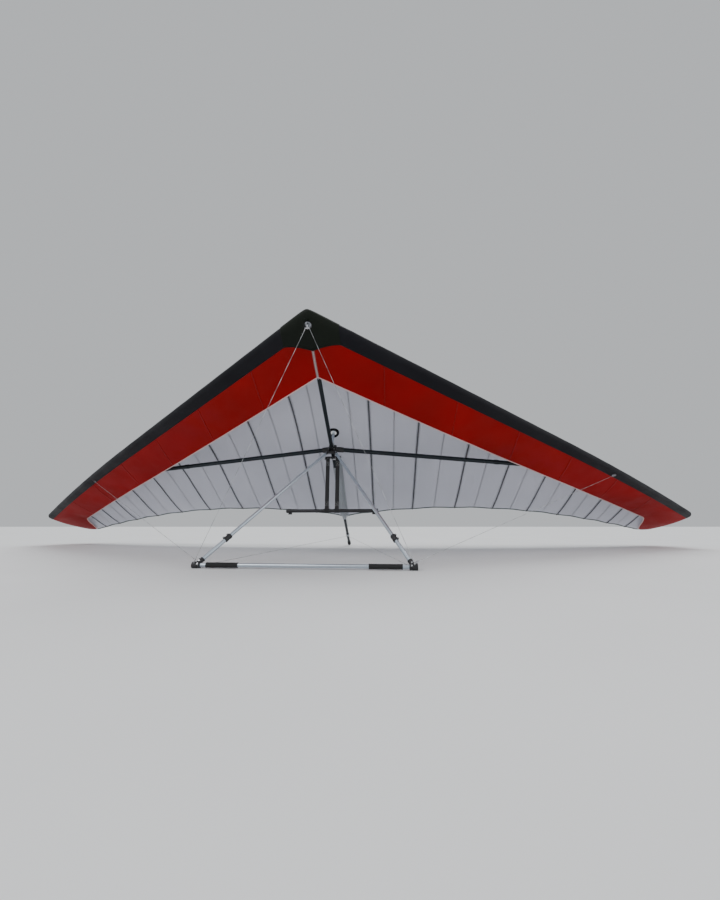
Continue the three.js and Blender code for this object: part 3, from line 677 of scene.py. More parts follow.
def trail_y(x):
    share = x / HALF_SPAN
    corner = np.clip((x - HALF_SPAN + TIP_CORNER) / TIP_CORNER, 0, 1)
    straight = mix((ROOT_TRAIL, TIP_TRAIL), share) - TRAIL_HOLLOW * np.sin(math.pi * share)
    return straight - TIP_CORNER_DEPTH * (1 - np.sqrt(1 - corner**2))


def top_z(x, y):
    """The sail's arch, scaled so that its highest point is the camber's share of the chord."""
    share = x / HALF_SPAN
    start = arc_end_y(x)
    chord = trail_y(x) - start
    t = (y - start) / chord
    nose = POCKET_RADIUS * math.sin(POCKET_ARC_END) * (1 - t) ** 2
    arch = mix(CAMBER, share) * chord * ARCH_SCALE * t * (1 - t) ** 2
    return lead_z(x) + nose + arch + TRAIL_LIFT * t + np.tan(WASHOUT * share**0.8) * (y - start)


def under_trail_y(x):
    strip = lead_y(x) + mix(UNDER_CHORD, x / HALF_SPAN) - POCKET_RADIUS
    return strip + (trail_y(x) - UNDER_HEM - strip) * smoothstep(x, *UNDER_TIP)


def under_z(x, y):
    front = lead_z(x) - POCKET_RADIUS
    tip_y = under_trail_y(HALF_SPAN)
    tip = top_z(HALF_SPAN, tip_y) - SAIL_DEPTH - UNDER_DEPTH - UNDER_SETBACK
    rear = mix((-POCKET_RADIUS, tip), (x / HALF_SPAN) ** 2.5)
    t = np.maximum(0, (y - lead_y(x)) / (under_trail_y(x) - lead_y(x)))
    return front + (rear - front) * t**1.3


def lip_top_y(x):
    return arc_end_y(x) + mix(LIP_TOP, x / HALF_SPAN)


def lip_below_y(x):
    return lead_y(x) + mix(LIP_BELOW, x / HALF_SPAN)


def cone_below_y(x):
    return lip_below_y(x) + CONE_PATCH * np.maximum(0, 1 - x / CONE_HALF) ** CONE_TAPER


ribs = np.linspace(0, HALF_SPAN, 400)
wing_area = 2 * HALF_SPAN * (trail_y(ribs) - lead_y(ribs)).mean()
print("span", round(2 * HALF_SPAN, 2), "m, sail", round(wing_area, 1), "square metres")

# %% [markdown]
# ## Battens and the billow between them
# The ribs of the wing are battens, thin tubes bent to the arch and slid into pockets on the
# sail. The cloth stands a little proud between them and its trailing edge is pulled in. Both
# follow one wave, which is 0 on a batten and 1 half way to the next.

# %% Places of the battens
BATTENS = np.array([0.44, 1.02, 1.66, 2.24, 2.78, 3.28, 3.74, 4.14, 4.47])
BATTEN_RADIUS, RIDGE_HALF, RIDGE_HEIGHT = 0.0055, 0.016, 0.0055
BILLOW, SCALLOP = 0.011, 0.016
CREASES, CREASE_HEIGHT, CREASE_SHIFT = 7.0, 0.0012, 1.7
stays = np.concatenate([[0], BATTENS, [HALF_SPAN]])


def bay(x):
    """Number of the bay between two battens, and how far across it x lies."""
    number = np.clip(np.searchsorted(stays, x, side="right") - 1, 0, len(stays) - 2)
    return number, (x - stays[number]) / (stays[number + 1] - stays[number])


def hem_y(x):
    """The trailing edge, pulled in between the battens except at the rounded tip."""
    swell = np.sin(math.pi * bay(x)[1]) ** 2
    return trail_y(x) - SCALLOP * swell * (1 - smoothstep(x, BATTENS[-1], HALF_SPAN - TIP_CORNER))


def sail_z(x, y):
    """The sail between its battens: a low billow, with fine creases that fan out of the hem."""
    x = np.asarray(x, float)
    share = np.clip((y - lip_top_y(x)) / (trail_y(x) - lip_top_y(x)), 0, 1)
    number, across_bay = bay(x)
    fade = np.sin(math.pi * across_bay) ** 2
    creases = np.sin(CREASES * math.pi * across_bay + CREASE_SHIFT * number) * share**3
    ridge = np.exp(-((np.abs(x[..., None] - BATTENS).min(-1) / RIDGE_HALF) ** 2))
    rise = BILLOW * np.sin(math.pi * share**0.7) ** 0.8 + CREASE_HEIGHT * creases
    return top_z(x, y) + rise * fade + RIDGE_HEIGHT * ridge * smoothstep(share, 0.0, 0.05)


root_chord = trail_y(BATTENS[0]) - lead_y(BATTENS[0])
print(len(BATTENS), "battens a side, the root one", round(float(root_chord), 2), "m")

# %% [markdown]
# ## The main sail
# The main sail is one sheet from tip to tip. It is drawn as a grid whose columns crowd around
# each batten, so that the ridges stay crisp, and whose rows crowd at the hem. Its flat map is
# the way along the span and the chord in metres. Solidify gives it the thickness of cloth.

# %% Draw the main sail
CLOTH_THICKNESS, SHEET_DROP, TUCK = 0.0012, 0.0012, 0.012
HEM_TO, HEM_WIDTH, HEM_ROWS = 4.72, 0.03, (0.5, 1.0)
CHORD_ROWS = 54
CORNER_XS = HALF_SPAN - TIP_CORNER * (1 - np.sin(np.radians(np.linspace(0, 90, 10))))


def half_stations(step):
    """Where the half sail is drawn: evenly, closer at each batten and round the tip's corner."""
    marks = [np.arange(0, CORNER_XS[0] - 0.02, step), CORNER_XS]
    marks += [BATTENS + RIDGE_HALF * k for k in (-1.5, -0.75, -0.3, 0, 0.3, 0.75, 1.5)]
    found = np.unique(np.round(np.concatenate(marks), 4))
    return found[np.concatenate([[True], np.diff(found) > 0.003])]


def both_halves(half):
    return np.concatenate([-half[:0:-1], half])


def top_face(x, y):
    return sail_z(x, y) - SHEET_DROP


stations = both_halves(half_stations(0.07))
shares = np.append(np.linspace(0, 1, CHORD_ROWS), np.add(1, HEM_ROWS))
span_x, share_t = grid(stations, shares)
reach = np.abs(span_x)
sail_y = mix((lip_top_y(reach) - TUCK, hem_y(reach) - HEM_WIDTH), np.minimum(share_t, 1))
sail_y += HEM_WIDTH * np.maximum(share_t - 1, 0)
main_sail = Shape(sheet(span_x, sail_y, top_face(reach, sail_y), over=True))
taped = np.abs(stations[:-1] + stations[1:]) / 2 < HEM_TO
in_hem = np.arange(len(shares) - 1) >= CHORD_ROWS - 1
main_sail.marks = np.outer(taped, in_hem).astype(int).ravel().tolist()
sail_look = dict(solid=CLOTH_THICKNESS, smooth=60)
sail = main_sail.piece(
    "main_sail", WHITE_CLOTH, HEM_TAPE, replaces=left_right("upper_sail"), **sail_look
)

# %% [markdown]
# ## The undersurface
# Below the leading edge a second skin makes the front of the wing thick. It is deep red, drawn
# tight, with a zip along the middle for reaching the frame. It runs on over the whole tip, where
# its rear edge is drawn up to the hem. A closing rib at each tip is part of the same cut.

# %% Draw the undersurface
UNDER_SAG, UNDER_FLUTTER, FLUTTERS = 0.007, 0.0016, 9.0
TIP_CLOSES, TIGHT_FROM = (4.45, 4.72), (4.2, 4.8)
NEAR_KEEL = (0.0, 0.012, 0.03, 0.06, 0.1)
RIB_BULGE = 0.012


def skin_z(x, y):
    """The undersurface as sewn: a little sag and flutter, and at the tip drawn up to the sail."""
    x = np.asarray(x, float)
    start, rear = cone_below_y(x) - TUCK, under_trail_y(x)
    share = np.clip((y - start) / (rear - start), 0, 1)
    sag = UNDER_SAG * np.sin(math.pi * share) * (1 - smoothstep(x, *TIGHT_FROM))
    flutter = UNDER_FLUTTER * np.sin(x * FLUTTERS) * np.sin(math.pi * np.clip(x / 4.6, 0, 1))
    hem = top_face(x, rear) - 1.5 * CLOTH_THICKNESS
    rise = (hem - under_z(x, rear)) * smoothstep(x, *TIP_CLOSES)
    return under_z(x, y) - sag + (flutter + rise) * share**2


def tip_rib():
    """The wall that closes the wing tip, bulged outwards a little."""
    share, level = grid(np.linspace(0, 1, 24), np.linspace(0, 1, 7))
    y = mix((lip_top_y(HALF_SPAN), under_trail_y(HALF_SPAN)), share)
    z = mix((skin_z(HALF_SPAN, y), top_z(HALF_SPAN, y) - 0.003), level)
    bulge = RIB_BULGE * np.sin(math.pi * level) * np.sin(math.pi * share) ** 0.5
    return sheet(HALF_SPAN - 0.001 + bulge, y, z, over=True)


tip_xs = np.arange(4.4, CORNER_XS[0] - 0.01, 0.02)
half = np.concatenate([NEAR_KEEL, np.arange(0.14, 4.39, 0.08), tip_xs, CORNER_XS])
span_x, share_t = grid(both_halves(half), np.linspace(0, 1, 26))
reach = np.abs(span_x)
under_y = mix((cone_below_y(reach) - TUCK, under_trail_y(reach)), share_t)
rib = tip_rib()
red_skin = Shape(sheet(span_x, under_y, skin_z(reach, under_y)), rib, mirrored(rib)).piece(
    "undersurface", RED_CLOTH, replaces=left_right("lower_sail"), **sail_look
)

# %% [markdown]
# ## Leading edge and nose cone
# Stiff black cloth wraps the front tube and laps onto both skins. Its section is a short flat,
# an arc around the tube and another flat, and lofting that section along the tube gives the
# whole wrap. A flat end closes it at the wing tip.

# %% Draw the leading edge
WRAP_THICKNESS, WRAP_OFF, WRAP_RIPPLE, RIPPLES = 0.0018, 0.002, 0.0005, 21.0


def wrap_lift(x):
    """How far the wrap lies off the skin, with slow ripples along the tube."""
    return WRAP_OFF + WRAP_RIPPLE * np.sin(x * RIPPLES)


def wrap_section(x, off, above, below, side=None):
    """A section of the wrap at x, from below round the tube, drawn at side if that is given."""
    radius = POCKET_RADIUS + off
    angles = np.linspace(1.5 * math.pi, POCKET_ARC_END, 22)
    lower_y = mix((lead_y(x), below), np.linspace(1, 0, 9)[:-1])
    arc_y = lead_y(x) + radius * np.cos(angles) / math.cos(SWEEP)
    upper_y = mix((arc_end_y(x), above), np.linspace(0, 1, 12)[1:])
    lower_z, upper_z = under_z(x, lower_y) - off, top_z(x, upper_y) + off
    y = np.concatenate([lower_y, arc_y, upper_y])
    z = np.concatenate([lower_z, lead_z(x) + radius * np.sin(angles), upper_z])
    return np.column_stack([np.full(len(y), x if side is None else side), y, z])


def run_of(points):
    """How far each point lies from the start of its line, along the line."""
    steps = np.linalg.norm(np.diff(points, axis=-2), axis=-1)
    return np.insert(steps.cumsum(-1), 0, 0, axis=-1)


def lofted(sections):
    """The sheet over a row of sections, and its flat map."""
    points = np.array(sections)
    flat = np.stack([points[..., 0] / math.cos(SWEEP), run_of(points)], -1)
    return sheet(*np.moveaxis(points, -1, 0), over=True), flat


wrap_x = np.linspace(POCKET_START + 0.02, 4.8, 110)
wrap_x = np.concatenate([wrap_x, [4.84, 4.88, 4.905, HALF_SPAN]])
sections = [wrap_section(x, wrap_lift(x), lip_top_y(x), lip_below_y(x)) for x in wrap_x]
wrap, flat = lofted(sections)
end = (sections[-1], flipped([range(len(sections[-1]))]))
wraps = []
for name, solids in (("left", (wrap, end)), ("right", (mirrored(wrap), mirrored(end)))):
    cloth = Shape().add(solids[0], flat=flat).add(solids[1], flat=end[0][:, :2])
    wraps.append(
        cloth.piece(
            "leading_edge_" + name,
            BLACK_CLOTH,
            replaces=["leading_edge_pocket_" + name],
            solid=WRAP_THICKNESS,
            smooth=50,
        )
    )

# %% [markdown]
# The nose cone is the same section drawn across the middle, a little proud of the wraps. Near
# the keel its lower edge runs further back and covers the catch's plate.

# %% Draw the nose cone
CONE_THICKNESS, CONE_OFF = 0.003, 0.0058
sections = []
for side in np.linspace(-CONE_HALF, CONE_HALF, 61):
    above, below = lip_top_y(abs(side)), cone_below_y(abs(side))
    sections.append(wrap_section(math.hypot(side, CONE_ROUND), CONE_OFF, above, below, side))
cone, flat = lofted(sections)
nose = Shape().add(cone, flat=flat).piece(
    "nose_cone_cover", OLIVE_CLOTH, replaces=["nose_cone"], solid=CONE_THICKNESS, smooth=50
)

# %% [markdown]
# ## Battens
# The battens are thin tubes in pockets under the sail. A tube that follows a curve is a small
# node tree: the path becomes a curve and a round profile is swept along it. One tree serves the
# battens, the piping and the wires, with its radius, sides and finish as inputs.

# %% A node tree that sweeps a round section along paths
class Tree:
    """A geometry node tree with named inputs, built step by step."""

    def __init__(self, name, **inputs):
        self.group = bpy.data.node_groups.new(name, "GeometryNodeTree")
        face = self.group.interface
        face.new_socket("Geometry", in_out="INPUT", socket_type="NodeSocketGeometry")
        face.new_socket("Geometry", in_out="OUTPUT", socket_type="NodeSocketGeometry")
        for label, value in {**inputs, "Finish": None}.items():
            kind = {int: "Int", float: "Float"}.get(type(value), "Material")
            socket = face.new_socket(label, in_out="INPUT", socket_type="NodeSocket" + kind)
            if value is not None:
                socket.default_value = value
        self.given = self.group.nodes.new("NodeGroupInput").outputs

    def add(self, kind, inputs=None, out=0, **settings):
        return node(self.group, kind, inputs, **settings).outputs[out]

    def circle(self, count, radius):
        sizes = {"Resolution": count, "Radius": radius}
        return self.add("GeometryNodeCurvePrimitiveCircle", sizes)

    def read(self, label, kind="FLOAT_VECTOR"):
        return self.add("GeometryNodeInputNamedAttribute", {"Name": label}, data_type=kind)

    def measured(self, curve, label, out):
        """The same curve, with a measure along it stored under a name for the finish."""
        value = self.add("GeometryNodeSplineParameter", out=out)
        inputs = {"Geometry": curve, "Name": label, "Value": value}
        kind = "GeometryNodeStoreNamedAttribute"
        return self.add(kind, inputs, data_type="FLOAT", domain="POINT")

    def close(self, geometry):
        """Ends the tree: real geometry, with its finish set."""
        real = self.add("GeometryNodeRealizeInstances", {"Geometry": geometry})
        painted = {"Geometry": real, "Material": self.given["Finish"]}
        painted = self.add("GeometryNodeSetMaterial", painted)
        node(self.group, "NodeGroupOutput", {"Geometry": painted})
        return self.group


def round_section_tree():
    tree = Tree("round_section", Radius=0.005, Sides=12)
    curve = tree.add("GeometryNodeMeshToCurve", {"Mesh": tree.given["Geometry"]})
    profile = tree.circle(tree.given["Sides"], tree.given["Radius"])
    curve = tree.measured(curve, "along", "Length")
    profile = tree.measured(profile, "around", "Factor")
    shape = {"Curve": curve, "Profile Curve": profile, "Fill Caps": True}
    return tree.close(tree.add("GeometryNodeCurveToMesh", shape))


ROUND_SECTION = round_section_tree()
print("round section:", len(ROUND_SECTION.nodes), "nodes")

# %% [markdown]
# A tree reads a bare mesh of seeds: points for small things, each with its size and the ways
# that it faces, or paths for tubes. It runs once and its result is kept as a plain mesh, which
# needs no tree any more.

# %% Plant seeds and let a tree grow
def seeds(points, edges=(), **attributes):
    """A bare mesh of points or paths, with attributes for the tree to read."""
    mesh = bpy.data.meshes.new("seeds")
    mesh.from_pydata(points.tolist(), list(edges), [])
    for label, values in attributes.items():
        kind, field = ("FLOAT", "value") if values.ndim == 1 else ("FLOAT_VECTOR", "vector")
        layer = mesh.attributes.new(label, kind, "POINT")
        layer.data.foreach_set(field, values.astype(np.float32).ravel())
    return mesh


def point_seeds(points, size=1.0, placed=False, **ways):
    """Seeds for small things, each with its size and the ways that it faces."""
    points = np.reshape(points, (-1, 3))
    ways = {label: np.broadcast_to(way, points.shape) for label, way in ways.items()}
    if not placed:
        points = park(points)
        ways = {label: park(way) - park(np.zeros(3)) for label, way in ways.items()}
    return seeds(points, size=np.broadcast_to(size, len(points)), **ways)


def path_seeds(paths):
    """Several paths in one mesh."""
    edges, start = [], 0
    for path in paths:
        edges += [(start + i, start + i + 1) for i in range(len(path) - 1)]
        start += len(path)
    return seeds(park(np.concatenate(paths)), edges)


def both(paths):
    return [path * flip for path in paths for flip in (1, MIRROR)]


def meshed(piece):
    """A plain mesh of what a piece's modifiers make."""
    depsgraph = bpy.context.evaluated_depsgraph_get()
    return bpy.data.meshes.new_from_object(piece.evaluated_get(depsgraph))


def grow(name, mesh, group, material, slot=None, smooth=40, body="airframe", replaces=(), **inputs):
    """Runs a tree on a mesh and keeps what it makes as a plain piece."""
    source = bpy.data.objects.new(name + "_seeds", mesh)
    link(source)
    maker = source.modifiers.new("maker", "NODES")
    maker.node_group = group
    inputs["Finish"] = material
    for item in group.interface.items_tree:
        if item.in_out == "INPUT" and item.name in inputs:
            maker[item.identifier] = inputs[item.name]
    made = meshed(source)
    made.name = name
    bpy.data.objects.remove(source)
    return dress(made, slot or SLOT_OF[material], body, replaces, smooth)


print("one path and its mirror image:", len(both([Z])), "paths")

# %% [markdown]
# Each batten runs from behind the leading edge to the hem and follows the arch. It is a dark
# tube, and the pocket that holds it is a strip of cloth that swells around it, white at its
# sides. Along its middle, over the batten, the pocket is painted dark grey: painted shade of the
# batten seen through the thin cloth.

# %% Bend the battens and sew their pockets
BATTEN_FROM, BATTEN_STOP = 0.03, 0.028
POCKET_HALF, POCKET_WALL, POCKET_SWELL, POCKET_DROP = 0.019, 0.0009, 0.0085, 0.0004
pocket_spots = np.array([-1, -0.7, -0.42, -0.28, 0, 0.28, 0.42, 0.7, 1]) * POCKET_HALF
painted_shade_over_batten = np.abs(pocket_spots[:-1] + pocket_spots[1:]) < POCKET_HALF
batten_paths = []
batten_pockets = Shape()
for x in BATTENS:
    ys = np.linspace(lip_top_y(x) + BATTEN_FROM, hem_y(x) - BATTEN_STOP, 44)
    path_z = top_face(np.full_like(ys, x), ys) - CLOTH_THICKNESS - BATTEN_RADIUS - 0.0002
    batten_paths.append(np.column_stack([np.full_like(ys, x), ys, path_z]))
    y, spot = grid(ys, pocket_spots)
    swell = (2 * BATTEN_RADIUS + POCKET_WALL) * np.exp(-((np.abs(spot) / POCKET_SWELL) ** 4))
    z = top_face(x + spot, y) - CLOTH_THICKNESS - POCKET_DROP - swell
    batten_pockets.add(sheet(x + spot, y, z, over=True), flat=np.stack([spot, y], -1))
strips = len(BATTENS) * (len(ys) - 1)
# Faces over the batten take the dark cloth, painted shade of the batten through the sail.
batten_pockets.marks = np.tile(painted_shade_over_batten.astype(int), strips).tolist()
batten_pockets.mirror().piece(
    "batten_pockets", WHITE_CLOTH, BATTEN_SHADE_CLOTH, solid=POCKET_WALL, smooth=60
)
batten_seeds = path_seeds(both(batten_paths))
grow("battens", batten_seeds, ROUND_SECTION, DARK_TUBE, Radius=BATTEN_RADIUS, Sides=14)

# %% [markdown]
# ## Piping
# A pale piping finishes the rear edge of the red skin. It could be a strip of cloth like the
# seams, but its edge is round, so it is the round section again, drawn from tip to tip along the
# edge. Near each tip it sinks below the hem that it meets there.

# %% Sew on the piping
PIPING_RADIUS = 0.006
edge_x = np.concatenate([np.linspace(0, 4.4, 80), np.linspace(4.41, TIP_CLOSES[1], 40)])
edge_y = under_trail_y(edge_x)
edge_drop = (PIPING_RADIUS + CLOTH_THICKNESS) * smoothstep(edge_x, *TIP_CLOSES)
edge = np.column_stack([edge_x, edge_y, skin_z(edge_x, edge_y) - edge_drop])
edge_seeds = path_seeds([np.concatenate([edge[:0:-1] * MIRROR, edge])])
grow("undersurface_piping", edge_seeds, ROUND_SECTION, PIPING, Radius=PIPING_RADIUS, Sides=10)

# %% [markdown]
# ## Tubes of the frame
# The keel, the cross-bars and the control frame are round tubes. Each is turned as a real tube
# with a wall, 48-sided so that its outline stays smooth close up. Sleeves double the wall where
# the load comes in.

# %% Keel, cross-bars and control frame
CROSS_Y, CROSS_Z, CROSS_RADIUS = 1.67, 0.056, 0.026
CROSS_START = np.array([0.058, CROSS_Y + 0.008, CROSS_Z])
CROSS_END_X, CROSS_SHORT = 3.45, 0.13
KINGPOST_Y, KINGPOST_FOOT, KINGPOST_TOP, KINGPOST_RADIUS = 1.575, 0.0583, 1.25, 0.016
APEX, CORNER = np.array([0.044, 1.6, -0.062]), np.array([0.8, 1.2, -1.59])
APEX_GAP, CORNER_GAP, BAR_GAP = 0.042, 0.062, 0.0343
BAR_RADIUS, DOWNTUBE_RADIUS = 0.0145, 0.015
KEEL_WALL, KEEL_SLEEVE, CROSS_SLEEVE = 0.0012, (1.42, 2.06), 1.9


def lead_point(x):
    return np.array([x, lead_y(x), lead_z(x)])


cross_end = lead_point(CROSS_END_X)
cross_way = unit(CROSS_START - cross_end)
cross_stop = along(cross_end, cross_way, CROSS_SHORT)
down_way = unit(CORNER - APEX)
down_start = along(APEX, down_way, APEX_GAP)
down_stop = along(CORNER, down_way, -CORNER_GAP)
bar_end = CORNER - X * BAR_GAP

keel = Shape(tube(Y * KEEL_START, Y * KEEL_END, KEEL_RADIUS, KEEL_WALL))
keel.add(tube(Y * KEEL_SLEEVE[0], Y * KEEL_SLEEVE[1], KEEL_RADIUS + 0.0002, 0.0004))
keel.piece("keel", DARK_TUBE, replaces=["keel_tube"])

sleeve_at = along(CROSS_START, cross_way, -CROSS_SLEEVE)
sleeve_stop = along(sleeve_at, cross_way, -0.05)
crossbars = Shape(tube(CROSS_START, cross_stop, CROSS_RADIUS))
crossbars.add(tube(sleeve_at, sleeve_stop, CROSS_RADIUS + 0.0035, 0.003))
crossbars.mirror().piece("crossbars", DARK_TUBE, replaces=left_right("crossbar"))

downtubes = Shape(tube(down_start, down_stop, DOWNTUBE_RADIUS)).mirror()
downtubes.piece("downtubes", SILVER_TUBE, replaces=left_right("downtube"))
base_bar = Shape(tube(bar_end * MIRROR, bar_end, BAR_RADIUS))
base_bar.piece("base_bar_tube", SILVER_TUBE, replaces=["base_bar"])
mast_ends = [(0, KINGPOST_Y, z) for z in (KINGPOST_FOOT, KINGPOST_TOP)]
kingpost = Shape(tube(*mast_ends, KINGPOST_RADIUS))
kingpost.piece("kingpost_tube", SILVER_TUBE, replaces=["kingpost"])

# %% [markdown]
# ## Leading-edge tubes
# The front tubes carry the bend that shapes the wing. They are drawn inside the cloth wrap,
# where only a little shows through the wire holes, as one swept section along their curve.

# %% Sweep the leading-edge tubes
LEAD_RADIUS, LEAD_START, LEAD_END = 0.026, 0.043, 4.79
lead_x = np.linspace(LEAD_START, LEAD_END, 60)
lead_path = np.column_stack([lead_x, lead_y(lead_x), lead_z(lead_x)])
leads = Shape(sweep(lead_path, LEAD_RADIUS, 32)).mirror()
leads.piece("leading_edge_tubes", DARK_TUBE, replaces=left_right("leading_edge_tube"))

# %% [markdown]
# ## Bolts, rings and wire ends
# The frame is held by a few dozen bolts, and each wire ends in a loop around a thimble, closed
# by a pressed sleeve. Such small things repeat, so each is made once inside a node tree and put
# on points that know which way they face. The trees take their sizes as named inputs.

# %% Trees for small hardware
def on_points(tree, thing, laid=False):
    """Ends a tree with a thing on each point, upright along facing, or laid along it under up."""
    facing = tree.read("facing")
    if laid:
        ways = {"Primary Axis": facing, "Secondary Axis": tree.read("up")}
        kind = "FunctionNodeAxesToRotation"
        turned = tree.add(kind, ways, primary_axis="X", secondary_axis="Z")
    else:
        turned = tree.add("FunctionNodeAlignRotationToVector", {"Vector": facing}, axis="Z")
    inputs = {"Points": tree.given["Geometry"], "Instance": thing, "Rotation": turned}
    inputs["Scale"] = tree.read("size", "FLOAT")
    return tree.close(tree.add("GeometryNodeInstanceOnPoints", inputs))


def cylinder(tree, radius, depth, lift, count):
    """A cylinder along Z whose middle is lifted, with sizes that may be sockets."""
    sizes = {"Vertices": count, "Radius": radius, "Depth": depth}
    body = tree.add("GeometryNodeMeshCylinder", sizes, out="Mesh")
    raised = tree.add("ShaderNodeCombineXYZ", {"Z": lift})
    return tree.add("GeometryNodeTransform", {"Geometry": body, "Translation": raised})


def scaled(tree, value, factor):
    return tree.add("ShaderNodeMath", {0: value, 1: factor}, operation="MULTIPLY")


def joined(tree, parts):
    made = tree.group.nodes.new("GeometryNodeJoinGeometry")
    for part in parts:
        tree.group.links.new(part, made.inputs[0])
    return made.outputs[0]


print("helpers: on_points, cylinder, scaled, joined")

# %% [markdown]
# A bolt is a hexagon head, a washer and the end of its shank. A ring is a bead swept round a
# circle. A wire's end is a loop round a thimble, and behind it the sleeve that closes it.

# %% Grow bolts, rings and wire ends
def bolt_tree():
    """A hexagon head on a washer, with the end of its shank showing."""
    tree = Tree("bolts", Across=0.01, Height=0.004)
    wide, high = tree.given["Across"], tree.given["Height"]
    parts = [cylinder(tree, scaled(tree, wide, 0.577), high, scaled(tree, high, 0.8), 6)]
    for count, *factors in ((20, 0.82, 0.3, 0.15), (12, 0.3, 0.5, 1.45)):
        sizes = [scaled(tree, *pair) for pair in zip((wide, high, high), factors)]
        parts.append(cylinder(tree, *sizes, count))
    return on_points(tree, joined(tree, parts))


def ring_tree():
    """A round ring of round section, lying across the direction that it faces."""
    tree = Tree("rings", Radius=0.01, Bead=0.001, Around=32, Section=8)
    rings = {"Curve": tree.circle(tree.given["Around"], tree.given["Radius"])}
    rings["Profile Curve"] = tree.circle(tree.given["Section"], tree.given["Bead"])
    return on_points(tree, tree.add("GeometryNodeCurveToMesh", rings))


def wire_end_tree():
    """A loop around a thimble, drawn out along the wire, and the sleeve that closes it."""
    tree = Tree("wire_ends", Loop=0.0062, Bead=0.0017, Sleeve=0.018, Width=0.0034)
    drawn = {"Geometry": tree.circle(28, tree.given["Loop"])}
    drawn.update({"Translation": (0.0028, 0, 0), "Scale": (1.45, 1, 1)})
    rings = {"Curve": tree.add("GeometryNodeTransform", drawn)}
    rings["Profile Curve"] = tree.circle(8, tree.given["Bead"])
    loop = tree.add("GeometryNodeCurveToMesh", rings)
    laid = {"Geometry": cylinder(tree, tree.given["Width"], tree.given["Sleeve"], 0.0, 16)}
    laid.update({"Translation": (0.0225, 0, 0), "Scale": (0.75, 1, 1)})
    laid["Rotation"] = (0, RIGHT_ANGLE, 0)
    sleeve = tree.add("GeometryNodeTransform", laid)
    return on_points(tree, joined(tree, [loop, sleeve]), laid=True)


BOLT_TREE, RING_TREE, WIRE_END_TREE = bolt_tree(), ring_tree(), wire_end_tree()
bolts = []


def bolt(at, facing, size=1.0):
    """Notes a bolt head on each side of the keel, for the one piece that holds them all."""
    for flip in (np.ones(3), MIRROR):
        bolts.append((np.multiply(at, flip), facing * flip, size))


print("trees", [group.name for group in bpy.data.node_groups])

# %% [markdown]
# ## Wires
# Wires brace the frame like the stays of a mast. The lower ones take the lift in flight, and the
# upper ones carry the wing's weight on the ground. Each runs straight between two eyes, so two
# points are enough for a path, and each end takes a thimble and a sleeve that face along it.

# %% Stretch the wires
GAP, WIRE_RADIUS, WIRE_REACH = 0.0003, 0.0014, 0.012
TAIL_WIRE_Y, TANG_Y, CATCH_Y = 3.56, 0.074, 0.118
KING_Z = KINGPOST_TOP + 0.012
EYES = {
    "corner_side": CORNER + (0.024, 0.004, 0.04),
    "corner_front": CORNER + (0.002, -0.036, 0.006),
    "corner_rear": CORNER + (0.002, 0.038, 0.008),
    "leading_below": cross_end + (-0.034, 0.024, -0.038),
    "leading_above": cross_end + (-0.034, 0.014, 0.088),
    "catch": np.array([0.016, CATCH_Y + 0.008, -0.084]),
    "keel_below": np.array([0.014, TAIL_WIRE_Y, -KEEL_RADIUS - 0.016]),
    "keel_above": np.array([0, TAIL_WIRE_Y, KEEL_RADIUS + 0.018]),
    "nose_above": np.array([0, TANG_Y, 0.096]),
    "king_side": np.array([0.022, KINGPOST_Y, KING_Z]),
    "king_front": np.array([0, KINGPOST_Y - 0.022, KING_Z]),
    "king_rear": np.array([0, KINGPOST_Y + 0.022, KING_Z]),
}
WIRES = (
    ("lower_side_wire", "corner_side", "leading_below", Y, True),
    ("lower_front_wire", "corner_front", "catch", X, True),
    ("lower_rear_wire", "corner_rear", "keel_below", X, True),
    ("upper_side_wire", "king_side", "leading_above", Y, True),
    ("upper_front_wire", "king_front", "nose_above", X, False),
    ("upper_rear_wire", "king_rear", "keel_above", X, False),
)
wire_ends = []
for name, low, high, pin, paired in WIRES:
    low, high = EYES[low], EYES[high]
    way = unit(high - low)
    for at, facing in ((low, way), (high, -way)):
        for flip in (1, MIRROR) if paired else (1,):
            wire_ends.append((at * flip, facing * flip, pin * flip))
    path = np.array([along(low, way, WIRE_REACH), along(high, -way, WIRE_REACH)])
    grow(
        name + "_cable",
        path_seeds(both([path]) if paired else [path]),
        ROUND_SECTION,
        WIRE,
        replaces=left_right(name) if paired else [name],
        Radius=WIRE_RADIUS,
        Sides=10,
    )

# %% [markdown]
# Thin lines run from the top of the kingpost to the rear ends of some battens. They hold the
# trailing edge up in a dive and hang nearly straight on the ground.

# %% Rig the lines to the trailing edge
LINE_RADIUS, LINE_SAG, LINE_BATTENS = 0.0009, 0.02, (1, 2, 3)
HEM_BACK, EYELET_RISE, EYELET_RADIUS, EYELET_BEAD = 0.035, 0.001, 0.008, 0.0022
line_paths, line_ends = [], []
top = EYES["king_rear"] + (0.008, 0.0, -0.006)
for x in BATTENS[list(LINE_BATTENS)]:
    y = hem_y(x) - HEM_BACK
    low = np.array([x, y, top_face(x, y) + EYELET_RISE])
    share = np.linspace(0, 1, 14)[:, None]
    line_paths.append(mix((top, low), share) - Z * LINE_SAG * np.sin(math.pi * share))
    line_ends.append(low)
line_seeds = path_seeds(both(line_paths))
grow("trailing_edge_lines", line_seeds, ROUND_SECTION, WIRE, Radius=LINE_RADIUS, Sides=6)
eyelets = point_seeds(both([np.array(line_ends)]), facing=Z)
grow("line_eyelets", eyelets, RING_TREE, FITTING, Radius=EYELET_RADIUS, Bead=EYELET_BEAD)

# %% [markdown]
# ## Corners of the control frame
# Each end of the base bar sits in a moulded corner. A turned foot takes the bar, a socket takes
# the downtube, and steel tangs bolted to it take the three lower wires. The foot's outer face
# stays flat, because wheels and skids are fastened there.

